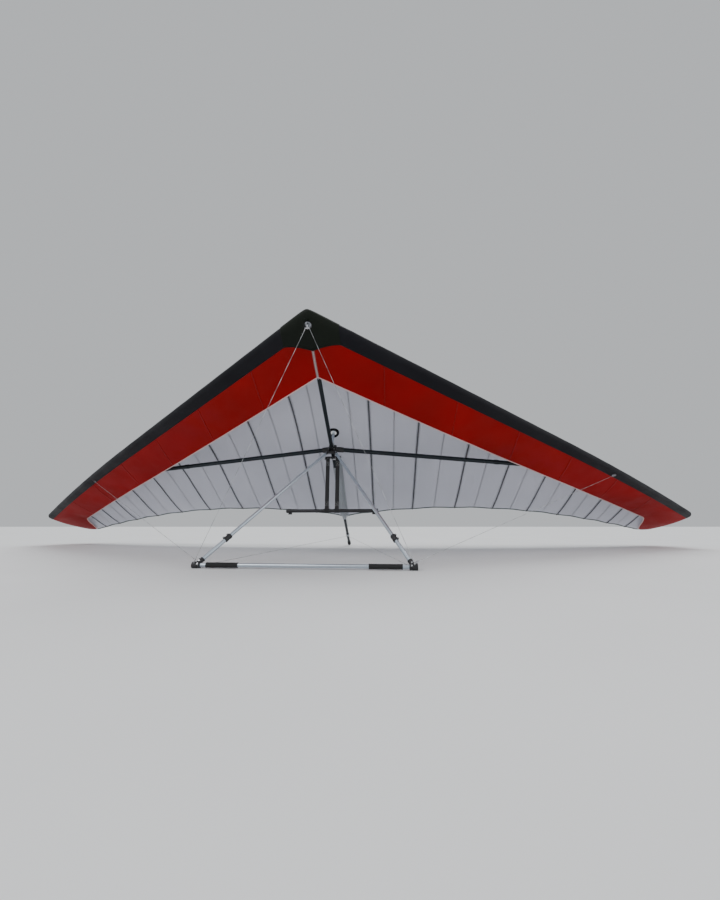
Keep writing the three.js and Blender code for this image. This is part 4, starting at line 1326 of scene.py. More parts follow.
# %% Tangs and corners
def tang(start, eye, pin, width=0.014, thickness=0.0022):
    """A steel strap from a bolt to the eye of a wire, round at both ends, with its pin."""
    way = eye - start
    length = np.linalg.norm(way)
    u = way / length
    pin = unit(pin - u * np.dot(pin, u))
    half, small = width / 2, width * 0.45
    outline = arc(-RIGHT_ANGLE, RIGHT_ANGLE, 9, small, small, (length, 0))
    outline += arc(-RIGHT_ANGLE, RIGHT_ANGLE, 9, -half, -half)
    strap = slab(outline, thickness, start, u, np.cross(pin, u))
    return [strap, rod(eye - pin * 0.0062, eye + pin * 0.0062, 0.0031, 16)]


corners, side_tangs, middle_tangs = Shape(), Shape(), Shape()
FOOT_IN, CORNER_RADIUS, SOCKET_LENGTH = 0.766, 0.024, 0.0617
foot_profile = [(0.0152, 0), (0.0205, 0), (0.022, 0.0015), (0.022, 0.012), (0.0205, 0.0135)]
foot_profile += [(0.0205, 0.022), (CORNER_RADIUS - 0.001, 0.025), (CORNER_RADIUS, 0.026)]
foot_profile += [(CORNER_RADIUS, 0.06), (0.0, 0.06)]
socket_profile = [(0.0, 0), (0.019, 0), (0.019, 0.042), (0.0172, 0.044), (0.0172, 0.05)]
socket_profile += [(0.0195, 0.052), (0.0195, SOCKET_LENGTH - 0.0012), (0.0183, SOCKET_LENGTH)]
socket_profile.append((0.0152, SOCKET_LENGTH))
gusset = [(-0.002, 0.0), (0.034, 0.0), (0.03, 0.02), (0.021, 0.046), (0.006, 0.05)]
foot_at = CORNER * (0, 1, 1) + X * FOOT_IN
corners.add(turn(foot_profile, foot_at, X, 48))
corners.add(turn(socket_profile, CORNER, -down_way, 40))
corners.add(slab(gusset, 0.012, CORNER, -X, Z))
corners.mirror().piece(
    "control_frame_corners", PLASTIC, replaces=left_right("corner_bracket"), bevel=0.0008
)
side_tangs.add(*tang(CORNER + (0.004, 0.0, 0.024), EYES["corner_side"], Y))
for eye in ("corner_front", "corner_rear"):
    side_tangs.add(*tang(CORNER + X * 0.002, EYES[eye], X))
for way in (Y, -Y):
    bolt(CORNER - X * 0.018 + way * 0.0205, way, 0.8)
    bolt(along(CORNER, down_way, -0.032) + way * 0.0188, way, 0.8)

# %% [markdown]
# ## Collars and grips
# A black collar is clamped on each downtube near its foot, and ribbed rubber grips sit on the
# base bar near its ends. The ribs are rings on a row of points, so their number and bead
# are one line each.

# %% Clamp the collars and slide on the grips
COLLAR_AT, COLLAR_LENGTH, COLLAR_RADIUS, COLLAR_GROOVE = 0.84, 0.06, 0.023, 0.0016
collar_at = mix((down_start, down_stop), COLLAR_AT)
collar_half = [(0.0153, 0), (COLLAR_RADIUS - 0.003, 0), (COLLAR_RADIUS, 0.003)]
collar_half += [(COLLAR_RADIUS, 0.019), (COLLAR_RADIUS - COLLAR_GROOVE, 0.021)]
collar_profile = even(collar_half, COLLAR_LENGTH)
collars = Shape(turn(collar_profile, collar_at, down_way, 44, bored=True))
ears = across(down_way)[1]
for distance in (0.011, 0.049):
    lug_at = along(collar_at, down_way, distance) + ears * 0.0245
    collars.add(block((0.012, 0.009, 0.013), lug_at, down_way, ears))
    for way in (1, -1):
        outwards = np.cross(down_way, ears) * way
        bolt(lug_at + outwards * 0.0065, outwards, 0.5)
collars.mirror().piece(
    "downtube_collars", PLASTIC, replaces=left_right("downtube_collar"), bevel=0.0006
)

GRIP_FROM, GRIP_TO, GRIP_RADIUS, GRIP_CORE = 0.48, 0.72, 0.019, 0.0178
RIB_PITCH, RIB_BEAD = 0.0075, 0.0014
grip_half = [(BAR_RADIUS + GAP, 0), (GRIP_RADIUS, 0), (GRIP_RADIUS, 0.008), (GRIP_CORE, 0.01)]
grip_at = CORNER * (0, 1, 1) + X * GRIP_FROM
grips = Shape(turn(even(grip_half, GRIP_TO - GRIP_FROM), grip_at, X, 40, bored=True))
grips.mirror().piece("base_bar_grips", RUBBER, replaces=left_right("base_bar_grip"))
rib_x = np.arange(GRIP_FROM + 0.016, GRIP_TO - 0.014, RIB_PITCH)
rib_points = CORNER * (0, 1, 1) + np.outer(rib_x, X)
rib_seeds = point_seeds(both([rib_points]), facing=X)
rib_look = dict(Radius=GRIP_CORE, Bead=RIB_BEAD, Around=36, Section=6)
grow("grip_ribs", rib_seeds, RING_TREE, RUBBER, **rib_look)

# %% [markdown]
# ## Apex of the control frame
# Under the keel a pair of plates carries the two downtubes on one cross bolt. The tubes end in
# turned plugs, and a channel keeps the plates square to the keel.

# %% Bolt up the apex
CHANNEL_TOP, CHANNEL_HIGH = -KEEL_RADIUS - GAP, 0.01
PLATE_X, PLATE_WALL, APEX_BOLT = 0.0295, 0.005, 0.048
channel_wide = 2 * PLATE_X - PLATE_WALL - 0.0002
channel_at = (0, APEX[1], CHANNEL_TOP - CHANNEL_HIGH / 2)
apex = Shape(block((channel_wide, 0.083, CHANNEL_HIGH), channel_at))
plate_outline = [(-0.042, 0), (0.042, 0), (0.042, -0.022)]
plate_outline += [*arc(0, -math.pi, 14, 0.03, 0.024, (0, -0.038)), (-0.042, -0.022)]
for side in (1, -1):
    apex.add(slab(plate_outline, PLATE_WALL, (side * PLATE_X, APEX[1], CHANNEL_TOP), Y, Z))
bolt_end = APEX * (0, 1, 1) + X * APEX_BOLT
apex.add(rod(bolt_end * MIRROR, bolt_end, 0.0165, 36))
plug_profile = [(0.0, 0), (0.0175, 0), (0.0175, 0.03), (0.016, 0.0315), (0.016, 0.0345)]
plug_profile += [(0.018, 0.036), (0.018, 0.0405), (0.0168, 0.0417), (0.0, 0.0417)]
for flip in (1, MIRROR):
    apex.add(turn(plug_profile, APEX * flip, down_way * flip, 40))
apex.piece("apex_fitting", PLASTIC, replaces=["apex_bracket"], bevel=0.0009)
bolt(bolt_end, X, 1.3)
for y in (-0.03, 0.03):
    bolt((PLATE_X + PLATE_WALL / 2, APEX[1] + y, CHANNEL_TOP - 0.014), X, 0.8)
for way in (Y, -Y):
    bolt(along(APEX, down_way, 0.024) + way * 0.0172, way, 0.7)

# %% [markdown]
# ## Middle of the frame
# The two cross-bars meet above the keel in a padded cover, so that the tubes don't chafe the
# sail. It is a crowned pad with short sleeves over the tube ends, bound by two webbing belts.
# Crowning each face of a fine box with a smooth bump makes the pad.

# %% Pad the junction of the cross-bars
def pad(half, centre, crown, cuts):
    """A stuffed box: its faces swell and its edges pull in."""
    a, b = grid(np.linspace(-1, 1, cuts), np.linspace(-1, 1, cuts))
    solids = []
    for axis in range(3):
        for sign in (1, -1):
            cube = np.empty((3, cuts, cuts))
            cube[axis], cube[axis - 2], cube[axis - 1] = sign, a, b * sign
            second, third = np.roll(cube**2, -1, axis=0), np.roll(cube**2, -2, axis=0)
            pulled = np.sqrt(1 - second / 5 - third / 5) * half[:, None, None]
            swollen = (1 - second) * (1 - third) * crown
            solids.append(sheet(*(cube * (pulled + swollen) + centre[:, None, None]), over=True))
    return solids


PAD_HALF = np.array([0.05, 0.051, 0.031])
PAD_CENTRE = np.array([0, CROSS_Y + 0.005, 0.0545])
PAD_CROWN, PAD_CUTS = 0.006, 14
cover = Shape(*pad(PAD_HALF, PAD_CENTRE, PAD_CROWN, PAD_CUTS))
pad_cover = cover.piece("crossbar_cover", PADDING, replaces=["crossbar_junction"], smooth=50)

cuff_profile = [(0.0263, 0), (0.031, 0.001), (0.0325, 0.006), (0.031, 0.012), (0.0335, 0.03)]
cuff_profile += [(0.0322, 0.062), (0.0308, 0.07), (0.0322, 0.074), (0.031, 0.079), (0.0263, 0.08)]
cuff_from = along(CROSS_START, cross_way, 0.012)
cuffs = Shape(turn(cuff_profile, cuff_from, -cross_way, 36, bored=True))
cuffs.mirror().piece("crossbar_cuffs", PADDING, smooth=60)

BELT_HALF, BELT_RISE, BELT_WALL = 0.0125, 0.0035, 0.0018
all_round = np.linspace(0, 2 * math.pi, 48, endpoint=False)
away_y, away_z = np.cos(all_round), np.sin(all_round)
squared = (np.abs(away_y) ** 4 + np.abs(away_z) ** 4) ** -0.25
belt_y = PAD_CENTRE[1] + away_y * squared * (PAD_HALF[1] + BELT_RISE)
belt_z = PAD_CENTRE[2] + away_z * squared * (PAD_HALF[2] + BELT_RISE)
belt_rows = np.linspace(-BELT_HALF, BELT_HALF, 4)[:, None]
belt_flat = np.stack(np.broadcast_arrays(belt_rows, all_round * 0.045), -1)
belt = Shape()
for x in (-0.03, 0.03):
    belt.add(sheet(x + belt_rows, belt_y, belt_z, around=True), flat=belt_flat)
belt.piece("junction_belts", WEBBING, solid=BELT_WALL, offset=0, smooth=60)

# %% [markdown]
# ## Kingpost base and cap
# The mast stands in a turned socket on a saddle that is bolted through the keel. Its cap
# spreads four tangs for the upper wires.

# %% Seat and cap the kingpost
SADDLE_LOW, CAP_LOW = KEEL_RADIUS + GAP, KINGPOST_TOP + GAP
wing_outline = [(-0.022, 0), (0.022, 0), (0.02, 0.014)]
wing_outline += [(0.012, 0.031), (-0.012, 0.031), (-0.02, 0.014)]
socket = [(0.0, 0.0), (0.0172, 0.0), (0.0172, 0.022), (0.0158, 0.024), (0.0, 0.024)]
saddle = Shape(block((0.046, 0.044, 0.012), (0, KINGPOST_Y, SADDLE_LOW + 0.006)))
for side in (1, -1):
    saddle.add(slab(wing_outline, 0.004, (side * 0.0195, KINGPOST_Y, SADDLE_LOW + 0.004), Y, Z))
saddle.add(turn(socket, (0, KINGPOST_Y, SADDLE_LOW + 0.0122), Z, 36))
saddle.piece("kingpost_saddle", FITTING, replaces=["kingpost_base"], bevel=0.0006)
bolt((0.0215, KINGPOST_Y, 0.0455), X, 0.9)
for y in (-0.016, 0.016):
    bolt((0.0115, KINGPOST_Y + y, SADDLE_LOW + 0.012), Z, 0.6)

cap_profile = [(0.0, 0), (0.0185, 0), (0.02, 0.0015), (0.02, 0.006), (0.0175, 0.0075)]
cap_profile += [(0.0175, 0.0155), (0.02, 0.017), (0.0195, 0.0205), (0.0165, 0.0255)]
cap_profile += [(0.012, 0.0295), (0.006, 0.0315), (0.0, 0.032)]
cap = Shape(turn(cap_profile, (0, KINGPOST_Y, CAP_LOW), Z, 40))
cap.piece("kingpost_head", PLASTIC, replaces=["kingpost_cap"])
side_tangs.add(*tang(np.array([0.008, KINGPOST_Y, KING_Z]), EYES["king_side"], Y))
for eye in ("king_front", "king_rear"):
    start = np.array([0, mix((KINGPOST_Y, EYES[eye][1]), 0.35), KING_Z])
    middle_tangs.add(*tang(start, EYES[eye], X))

# %% [markdown]
# ## Cross-bar brackets
# Inside the wing, a clamp on each leading-edge tube takes the end of the cross-bar and the
# tangs of the two side wires. Only the tangs show, where they come out through the cloth.

# %% Clamp the cross-bars to the leading edges
lead_way = unit(lead_point(CROSS_END_X + 0.001) - cross_end)
clamp_half = [(0.0271, -0.045), (0.031, -0.045), (0.032, -0.044), (0.032, -0.026)]
clamp_half.append((0.0302, -0.024))
brackets = Shape(turn(even(clamp_half), cross_end, lead_way, 40, bored=True))
stub_from = along(cross_end, cross_way, LEAD_RADIUS + 0.002)
brackets.add(rod(stub_from, along(cross_stop, cross_way, -GAP), 0.0168))
brackets.mirror().piece(
    "crossbar_clamps", FITTING, replaces=left_right("crossbar_bracket"), bevel=0.0005
)
for eye in ("leading_below", "leading_above"):
    side_tangs.add(*tang(along(cross_end, cross_way, 0.06), EYES[eye], Y))

# %% [markdown]
# ## Nose plates and catch
# Two plates bolt the three front tubes together inside the nose cone. The upper one holds the
# front wire's tang, and the lower one the catch that the two front wires hook onto, so that the
# frame can be let down after flying.

# %% Bolt up the nose
PLATE_HALF, PLATE_THICKNESS, PLATE_WIDE, PLATE_TAIL = 0.15, 0.005, 0.036, (0.038, 0.205)
PLATE_TOP = LEAD_RADIUS + LEAD_RISE * PLATE_HALF + 2 * GAP
PLATE_BELOW = -(LEAD_RADIUS + GAP - LEAD_RISE * 0.025)
plate_side = lead_y(PLATE_HALF)
half_plate = [(PLATE_HALF, plate_side), (PLATE_HALF - 0.004, plate_side + PLATE_WIDE), PLATE_TAIL]
nose_outline = [(0, LEAD_Y + 0.006), *half_plate] + [(-x, y) for x, y in half_plate[::-1]]
plates = Shape()
for level in (PLATE_TOP + PLATE_THICKNESS / 2, PLATE_BELOW - PLATE_THICKNESS / 2):
    plates.add(slab(nose_outline, PLATE_THICKNESS, (0, 0, level)))
hook_outline = [(-0.015, 0), (0.015, 0), (0.015, -0.02), (0.006, -0.028), (0.006, -0.036)]
hook_outline += [(0.015, -0.044), (0.0145, -0.054), (0.004, -0.058), (-0.009, -0.053)]
hook_outline.append((-0.015, -0.04))
catch_low = PLATE_BELOW - PLATE_THICKNESS
plates.add(slab(hook_outline, 0.01, (0, CATCH_Y, catch_low + 0.002), Y, Z))
plates.piece(
    "nose_plates", FITTING, replaces=["nose_plate_top", "nose_plate_bottom"], bevel=0.0006
)
for x in (0.07, 0.125):
    for level, facing in ((PLATE_TOP + PLATE_THICKNESS, Z), (catch_low, -Z)):
        bolt((x, lead_y(x) + 0.004, level), facing, 1.2)
yoke_end = EYES["catch"]
yoke = Shape(rod(yoke_end * MIRROR, yoke_end, 0.0052, 24))
for side in (1, -1):
    washer_at = yoke_end * (side, 1, 1)
    yoke.add(rod(washer_at + X * side * 0.004, washer_at + X * side * 0.0058, 0.0085, 24))
bridge = [(-0.006, -0.006), (0.006, -0.006), (0.008, 0.012), (-0.012, 0.012)]
yoke.add(slab(bridge, 0.006, yoke_end * (0, 1, 1), Y, Z))
yoke.piece("catch_yoke", STEEL, bevel=0.0004)
middle_tangs.add(*tang(EYES["nose_above"] - Z * 0.058, EYES["nose_above"], X, 0.016, 0.006))

# %% [markdown]
# ## Tail of the keel
# At the other end of the keel a turned band takes the rear wires, and a grooved rubber shoe
# keeps the tube off the ground when the glider is parked.

# %% Finish the tail
KEEL_BORE, BAND_RADIUS = KEEL_RADIUS + GAP, 0.027
band_half = [(KEEL_BORE, -0.02), (0.026, -0.02), (BAND_RADIUS, -0.019), (BAND_RADIUS, -0.012)]
band_half.append((0.0255, -0.0105))
tail_at = np.array([0, TAIL_WIRE_Y, 0])
tail = Shape(turn(even(band_half), tail_at, Y, 44, bored=True))
tail.piece("tail_band", FITTING, replaces=["tail_fitting"])
bolt(tail_at + X * 0.0258, X, 0.8)
for tangs, eye in ((side_tangs, "keel_below"), (middle_tangs, "keel_above")):
    tangs.add(*tang(EYES[eye] * (1, 1, 0.55), EYES[eye], X))

CAP_MOUTH, CAP_END, CAP_RADIUS, CAP_CHAMFER = 3.796, 3.876, 0.027, 0.009
cap_length = CAP_END - CAP_MOUTH
groove_radius = CAP_RADIUS - 0.0016
shoe_profile = [(KEEL_BORE, 0), (CAP_RADIUS - 0.001, 0), (CAP_RADIUS, 0.001)]
for groove in (0.014, 0.026, 0.038, 0.05):
    shoe_profile += [(CAP_RADIUS, groove), (groove_radius, groove + 0.0012)]
    shoe_profile += [(groove_radius, groove + 0.0042), (CAP_RADIUS, groove + 0.0054)]
shoe_profile += [(CAP_RADIUS, cap_length - CAP_CHAMFER), (CAP_RADIUS - CAP_CHAMFER, cap_length)]
shoe_profile.append((0.0, cap_length))
shoe = Shape(turn(shoe_profile, (0, CAP_MOUTH, 0), Y, 44))
shoe.piece("tail_shoe", RUBBER, replaces=["tail_cap"], slot="black_plastic")

# %% [markdown]
# ## Hang gear
# Behind the apex a bracket under the keel holds a cross pin, and two webbing straps hang from it
# with a bar across them. Each strap is one closed loop of webbing: it goes round the pin,
# its two layers come together and are sewn, and it opens again round the bar.

# %% Make the hang bracket
HANG_Y, HANG_Z, HANG_PIN = 1.73, -0.052, 0.008
BRACKET_HALF, CHEEK = 0.092, 0.006
bridge_at = (0, HANG_Y, CHANNEL_TOP - CHANNEL_HIGH / 2)
hanger = Shape(block((2 * BRACKET_HALF, 0.034, CHANNEL_HIGH), bridge_at))
cheek_outline = [(-0.015, 0), (0.015, 0)]
cheek_outline += arc(0, -math.pi, 12, 0.015, 0.0145, (0, -0.026))
for side in (-1, 0, 1):
    cheek_at = (side * (BRACKET_HALF - CHEEK / 2), HANG_Y, CHANNEL_TOP)
    hanger.add(slab(cheek_outline, CHEEK, cheek_at, Y, Z))
hanger.piece("hang_yoke", PLASTIC, replaces=["hang_bracket"], bevel=0.0007)
pin_end = np.array([BRACKET_HALF, HANG_Y, HANG_Z])
Shape(rod(pin_end * MIRROR, pin_end, HANG_PIN, 32)).piece("hang_pin", STEEL)
bolt(pin_end, X, 1.25)
for x in (0.03, 0.062):
    bolt((x, HANG_Y, CHANNEL_TOP - CHANNEL_HIGH), -Z, 0.7)

# %% [markdown]
# The straps and the bar hang straight down at rest, so they are drawn in the room's own axes,
# measured from the pin. The strap is drawn from the side as one line, softened at its corners.

# %% Sew the straps
PIVOT = park([(0, HANG_Y, HANG_Z)])[0]
HANG_DROP, STRAP_X, STRAP_HALF, WEB = 0.6, 0.058, 0.023, 0.003
BAR_END, SPREADER_RADIUS = 0.525, 0.02
LEAVE = math.radians(35)
swings = dict(body="hang_straps", placed=True)


def half_loop():
    """One side of the strap in its own plane, from the top of the pin to under the bar."""
    layer = (WEB + GAP) / 2
    ends = []
    for core, centre, down in ((HANG_PIN, 0.0, 1), (SPREADER_RADIUS, -HANG_DROP, -1)):
        radius = core + GAP + WEB / 2
        slope = (radius * math.cos(LEAVE) - layer) / math.sin(LEAVE)
        drop = radius * math.sin(LEAVE) + slope * math.cos(LEAVE)
        bend = arc(RIGHT_ANGLE, -LEAVE, 16, radius, down * radius, (0, centre))
        ends.append([*bend, (layer, centre - down * drop)])
    return np.array(ends[0] + ends[1][::-1])


def evened(points, step, soften):
    """The same line with even steps and its corners softened."""
    lengths = run_of(points)
    at = np.linspace(0, lengths[-1], int(lengths[-1] / step))
    line = np.column_stack([np.interp(at, lengths, column) for column in points.T])
    for _ in range(soften):
        line[1:-1] = (line[:-2] + 2 * line[1:-1] + line[2:]) / 4
    return line


one_side = evened(half_loop(), 0.004, 2)
loop = np.concatenate([one_side, (one_side * (-1, 1))[-2:0:-1]])
loop_y, loop_z = (loop + PIVOT[1:]).T
strap_rows = np.array([-1, -0.93, -0.5, 0, 0.5, 0.93, 1])[:, None] * STRAP_HALF
strap_flat = np.stack(np.broadcast_arrays(strap_rows, run_of(loop)), -1)
straps = Shape()
for side in (1, -1):
    strap_x = PIVOT[0] + side * STRAP_X + strap_rows
    straps.add(sheet(strap_x, loop_y, loop_z, over=True, around=True), flat=strap_flat)
strap_look = dict(solid=WEB, offset=0, smooth=60, **swings)
straps.piece("hang_webbing", WEBBING, replaces=left_right("hang_strap"), **strap_look)

# %% [markdown]
# The bar is a tube with moulded ends. Two rings on it hold each strap in its place, and a tab
# near each end is where a load hooks on.

# %% Hang the bar
RING_AWAY = STRAP_HALF + 0.006
TAB_X, TAB_HALF, TAB_LOW, TAB_WALL = 0.48, 0.02, 0.04, 0.014
bar_at = PIVOT - Z * HANG_DROP
tube_end = X * (BAR_END - 0.004)
spreader = Shape(tube(bar_at - tube_end, bar_at + tube_end, SPREADER_RADIUS - 0.0004, 0.002))
ring_profile = even([(0.0197, -0.004), (0.0225, -0.004), (0.0235, -0.003)])
end_profile = [(0.0197, -0.052), (0.0225, -0.052), (0.0235, -0.051), (0.0235, -0.004)]
end_profile += [(0.022, -0.0012), (0.019, 0.0), (0.0, 0.0)]
tab_outline = [(-TAB_HALF, -TAB_LOW), (TAB_HALF, -TAB_LOW), (TAB_HALF, -0.024)]
tab_outline += [(0.013, -0.016), (-0.013, -0.016), (-TAB_HALF, -0.024)]
for way in (X, -X):
    spreader.add(turn(end_profile, bar_at + way * BAR_END, way, 40))
    for x in (STRAP_X - RING_AWAY, STRAP_X + RING_AWAY):
        spreader.add(turn(ring_profile, bar_at + way * x, way, 36, bored=True))
    spreader.add(slab(tab_outline, TAB_WALL, bar_at + way * TAB_X, X, Z))
spreader.piece("spreader", PLASTIC, replaces=["spreader_bar"], bevel=0.0008, **swings)

# %% [markdown]
# ## Cloth details
# What makes a sail look sewn is its seams: lapped panels, bound holes, zigzag thread. The
# panels' laps are narrow strips laid on the cloth, half way between the battens above and
# evenly spaced below. The strips on the white sail are painted darker than it: painted shade of
# the doubled cloth in light from behind.

# %% Lay the seams
SEAM_HALF, SEAM_LIFT = 0.009, 0.0004
RED_SEAMS = (0.62, 1.34, 2.06, 2.78, 3.5, 4.15)
sewn = dict(solid=0.0005, smooth=60)


def strip_on(x, ys, height, half, lift, up=True):
    """A narrow strip of cloth that follows a surface, facing up or down."""
    y, offset = grid(ys, np.linspace(-half, half, 3))
    return sheet(x + offset, y, height(np.abs(x + offset), y) + lift, over=not up)


seams, red_seams = Shape(), Shape()
top_lines, red_lines = [], []
for x in (stays[:-2] + stays[1:-1]) / 2:
    ys = np.linspace(lip_top_y(x) + 0.002, hem_y(x) - HEM_WIDTH, 40)
    for seam_x in (x, -x):
        seams.add(strip_on(seam_x, ys, top_face, SEAM_HALF, SEAM_LIFT))
        top_lines.append((seam_x, ys))
for x in RED_SEAMS:
    ys = np.linspace(lip_below_y(x) + 0.002, under_trail_y(x) - 0.004, 16)
    for seam_x in (x, -x):
        red_seams.add(strip_on(seam_x, ys, skin_z, SEAM_HALF, -SEAM_LIFT, up=False))
        red_lines.append((seam_x, ys))
# The white seam strips are painted darker, as the doubled cloth's shade in light from behind.
seams.piece("panel_seams", SEAM_SHADE_CLOTH, **sewn)
red_seams.piece("undersurface_seams", RED_CLOTH, **sewn)

# %% [markdown]
# A sleeve sewn under the sail wraps the keel behind the frame. Its section is one line from
# flange to flange, a little slack at the sides, and is lofted along the keel.

# %% Wrap the keel
SLEEVE_SIDE, SLEEVE_SKIRT, SLEEVE_FLAT, SLEEVE_FLANGE = 0.006, -0.012, 0.62, 0.032
sleeve_low = -KEEL_RADIUS - GAP - 0.0024
sleeve_y = np.linspace(1.92, 3.085, 60)
rows = []
for y, share in zip(sleeve_y, np.linspace(0, 1, 60)):
    top = top_z(0.0, y) - SAIL_DEPTH + 0.0018
    w = KEEL_RADIUS + SLEEVE_SIDE + 0.0012 * math.sin(9 * y)
    pull = 0.004 * math.sin(math.pi * share)
    half = [
        (w + SLEEVE_FLANGE, top),
        (w + 0.006, top),
        (w + 0.0012, top - 0.006),
        (w - pull, mix((top, SLEEVE_SKIRT), 0.35)),
        (w - pull * 0.6, mix((top, SLEEVE_SKIRT), 0.75)),
        (w, SLEEVE_SKIRT),
        (w * 0.86, mix((SLEEVE_SKIRT, sleeve_low), 0.62)),
        (w * SLEEVE_FLAT, sleeve_low),
        (0.0, sleeve_low - 0.0008),
    ]
    rows.append([(x, y, z) for x, z in half] + [(-x, y, z) for x, z in half[-2::-1]])
rows = np.array(rows)
sleeve_flat = np.stack([run_of(rows), rows[..., 1]], -1)
sleeve = Shape().add(sheet(*np.moveaxis(rows, -1, 0)), flat=sleeve_flat)
sleeve.piece("keel_sleeve", KEEL_CLOTH, replaces=["keel_pocket"], solid=0.0012, smooth=50)

# %% [markdown]
# At the hem each batten ends in a moulded plug, which lies along the slope of the sail there.

# %% Plug the battens
PLUG_LENGTH, PLUG_THICKNESS = 0.05, 0.009
half_plug = [(0.007, -PLUG_LENGTH), (0.009, -0.02), (0.0075, -0.002), (0.0, 0.003)]
plug_outline = half_plug + [(-a, b) for a, b in half_plug[-2::-1]]
plugs = Shape()
for x in BATTENS:
    y = hem_y(x)
    z = sail_z(x, y)
    plug_way = (0, PLUG_LENGTH, z - sail_z(x, y - PLUG_LENGTH))
    plugs.add(slab(plug_outline, PLUG_THICKNESS, (x, y, z - 0.0085), X, plug_way))
plugs.mirror().piece("batten_ends", PLASTIC, bevel=0.0009)

# %% [markdown]
# ## Holes in the cloth
# The side wires come out through both faces of the leading edge, the kingpost through the
# middle of the sail, and the catch and the front wire through the nose cone. Each hole is a
# round cut, made for good, with a bound rim on top.

# %% Cut the holes and bind them
KINGPOST_HOLE, WIRE_HOLE, CATCH_HOLE, TANG_HOLE = 0.038, 0.026, 0.03, 0.016
PATCH_REACH, PATCH_LIFT = 0.03, 0.0004
rims = []


def drill(pieces, at, radius, reach, surface_z, facing):
    """Cuts a round hole along the keel frame's vertical, and notes a rim for it."""
    cutter_mesh = bpy.data.meshes.new("cutter")
    points, faces = rod(along(at, Z, -reach), along(at, Z, reach), radius, 36, 0.0)
    cutter_mesh.from_pydata(park(points).tolist(), [], faces)
    cutter = bpy.data.objects.new("cutter", cutter_mesh)
    link(cutter)
    for piece in pieces:
        hole = piece.modifiers.new("hole", "BOOLEAN")
        hole.operation = "DIFFERENCE"
        hole.solver = "FAST"
        hole.object = cutter
        cut = meshed(piece)
        cut.name = piece.name
        piece.modifiers.clear()
        piece.data = cut
    bpy.data.objects.remove(cutter)
    rims.append(((at[0], at[1], surface_z), facing, radius))


under_nose, over_nose = under_z(0.0, CATCH_Y) - CONE_OFF, top_z(0.0, TANG_Y) + CONE_OFF
drill([sail], (0, KINGPOST_Y, 0.22), KINGPOST_HOLE, 0.15, top_face(0.0, KINGPOST_Y), Z)
drill([nose], (0, CATCH_Y, -0.06), CATCH_HOLE, 0.055, under_nose, -Z)
drill([nose], (0, TANG_Y, 0.09), TANG_HOLE, 0.07, over_nose, Z)
for flip, wrap in zip((1, MIRROR), wraps):
    below, above = EYES["leading_below"] * flip, EYES["leading_above"] * flip
    x = abs(below[0])
    low, high = under_z(x, below[1]), top_z(x, above[1])
    drill([wrap, red_skin], (*below[:2], low), WIRE_HOLE, 0.02, low - 0.001, -Z)
    drill([wrap], (*above[:2], high), WIRE_HOLE, 0.03, high + 0.001, Z)
at, facing, radius = (np.array(values, float) for values in zip(*rims))
rim_seeds = point_seeds(at, radius / WIRE_HOLE, facing=facing)
rim_look = dict(Radius=WIRE_HOLE + 0.001, Bead=0.0026, Around=40, Section=10)
grow("hole_rims", rim_seeds, RING_TREE, PLASTIC, **rim_look)

r, turned = grid(KINGPOST_HOLE + np.linspace(0, PATCH_REACH, 4), all_round)
x, y = r * np.cos(turned), KINGPOST_Y + r * np.sin(turned)
patch = Shape()
for lift, up in ((PATCH_LIFT, True), (-CLOTH_THICKNESS - PATCH_LIFT, False)):
    patch.add(sheet(x, y, top_face(np.abs(x), y) + lift, over=up, around=True))
patch.piece("kingpost_patch", BLACK_CLOTH, **sewn)

# %% [markdown]
# ## Zip
# A zip along the middle of the undersurface opens the way to the frame inside. Its teeth
# are one small block on each point of two rows, half a pitch apart.

# %% Sew in the zip
ZIP_PITCH, ZIP_HALF, TOOTH_AWAY = 0.004, 0.012, 0.0013
zip_from, zip_to = cone_below_y(0.0) + 0.006, under_trail_y(0.0) - 0.012
tape_y = np.linspace(zip_from - 0.01, zip_to + 0.008, 40)
tape = Shape(strip_on(0.0, tape_y, skin_z, ZIP_HALF, -0.0008, up=False))
tape.piece("zip_tape", ZIP_CLOTH, solid=0.0007, smooth=60)


def teeth_tree():
    tree = Tree("zip_teeth", Wide=0.0042, Long=0.0021, High=0.0016)
    sides = {axis: tree.given[label] for axis, label in zip("XYZ", ("Long", "Wide", "High"))}
    size = tree.add("ShaderNodeCombineXYZ", sides)
    tooth = tree.add("GeometryNodeMeshCube", {"Size": size}, out="Mesh")
    return on_points(tree, tooth, laid=True)


teeth = []
for x, shift in ((TOOTH_AWAY, 0.0), (-TOOTH_AWAY, ZIP_PITCH / 2)):
    ys = np.arange(zip_from, zip_to, ZIP_PITCH) + shift
    teeth.append(np.column_stack([np.full_like(ys, x), ys, skin_z(0.0, ys) - 0.0018]))
grow("zip_teeth", point_seeds(np.concatenate(teeth), facing=Y, up=Z), teeth_tree(), ZIP_TEETH)
slider_z = skin_z(0.0, zip_to) - 0.0022
slider = Shape(slab(lug(0.012, 0.009), 0.0036, (0, zip_to - 0.006, slider_z), Y, X))
slider.add(slab(lug(0.03, 0.006), 0.0012, (0, zip_to + 0.004, slider_z - 0.0024), Y, X))
slider.piece("zip_slider", FITTING, bevel=0.0004)

# %% [markdown]
# ## Stitches
# Every seam is closed by zigzag thread. A stitch is a short bead of thread on a point that
# knows its direction, so one tree sews the whole glider.

# %% A stitch and a line of stitches
THREAD_LIFT, LAP_PITCH = 0.0003, 0.009


def stitch_tree():
    tree = Tree("stitches", Thickness=0.0004, Length=0.0068)
    bead = {"Vertices": 4, "Radius": tree.given["Thickness"], "Depth": tree.given["Length"]}
    bead = tree.add("GeometryNodeMeshCylinder", bead, out="Mesh", fill_type="NGON")
    turned = {"Geometry": bead, "Rotation": (0, RIGHT_ANGLE, 0)}
    return on_points(tree, tree.add("GeometryNodeTransform", turned), laid=True)


STITCH_TREE = stitch_tree()


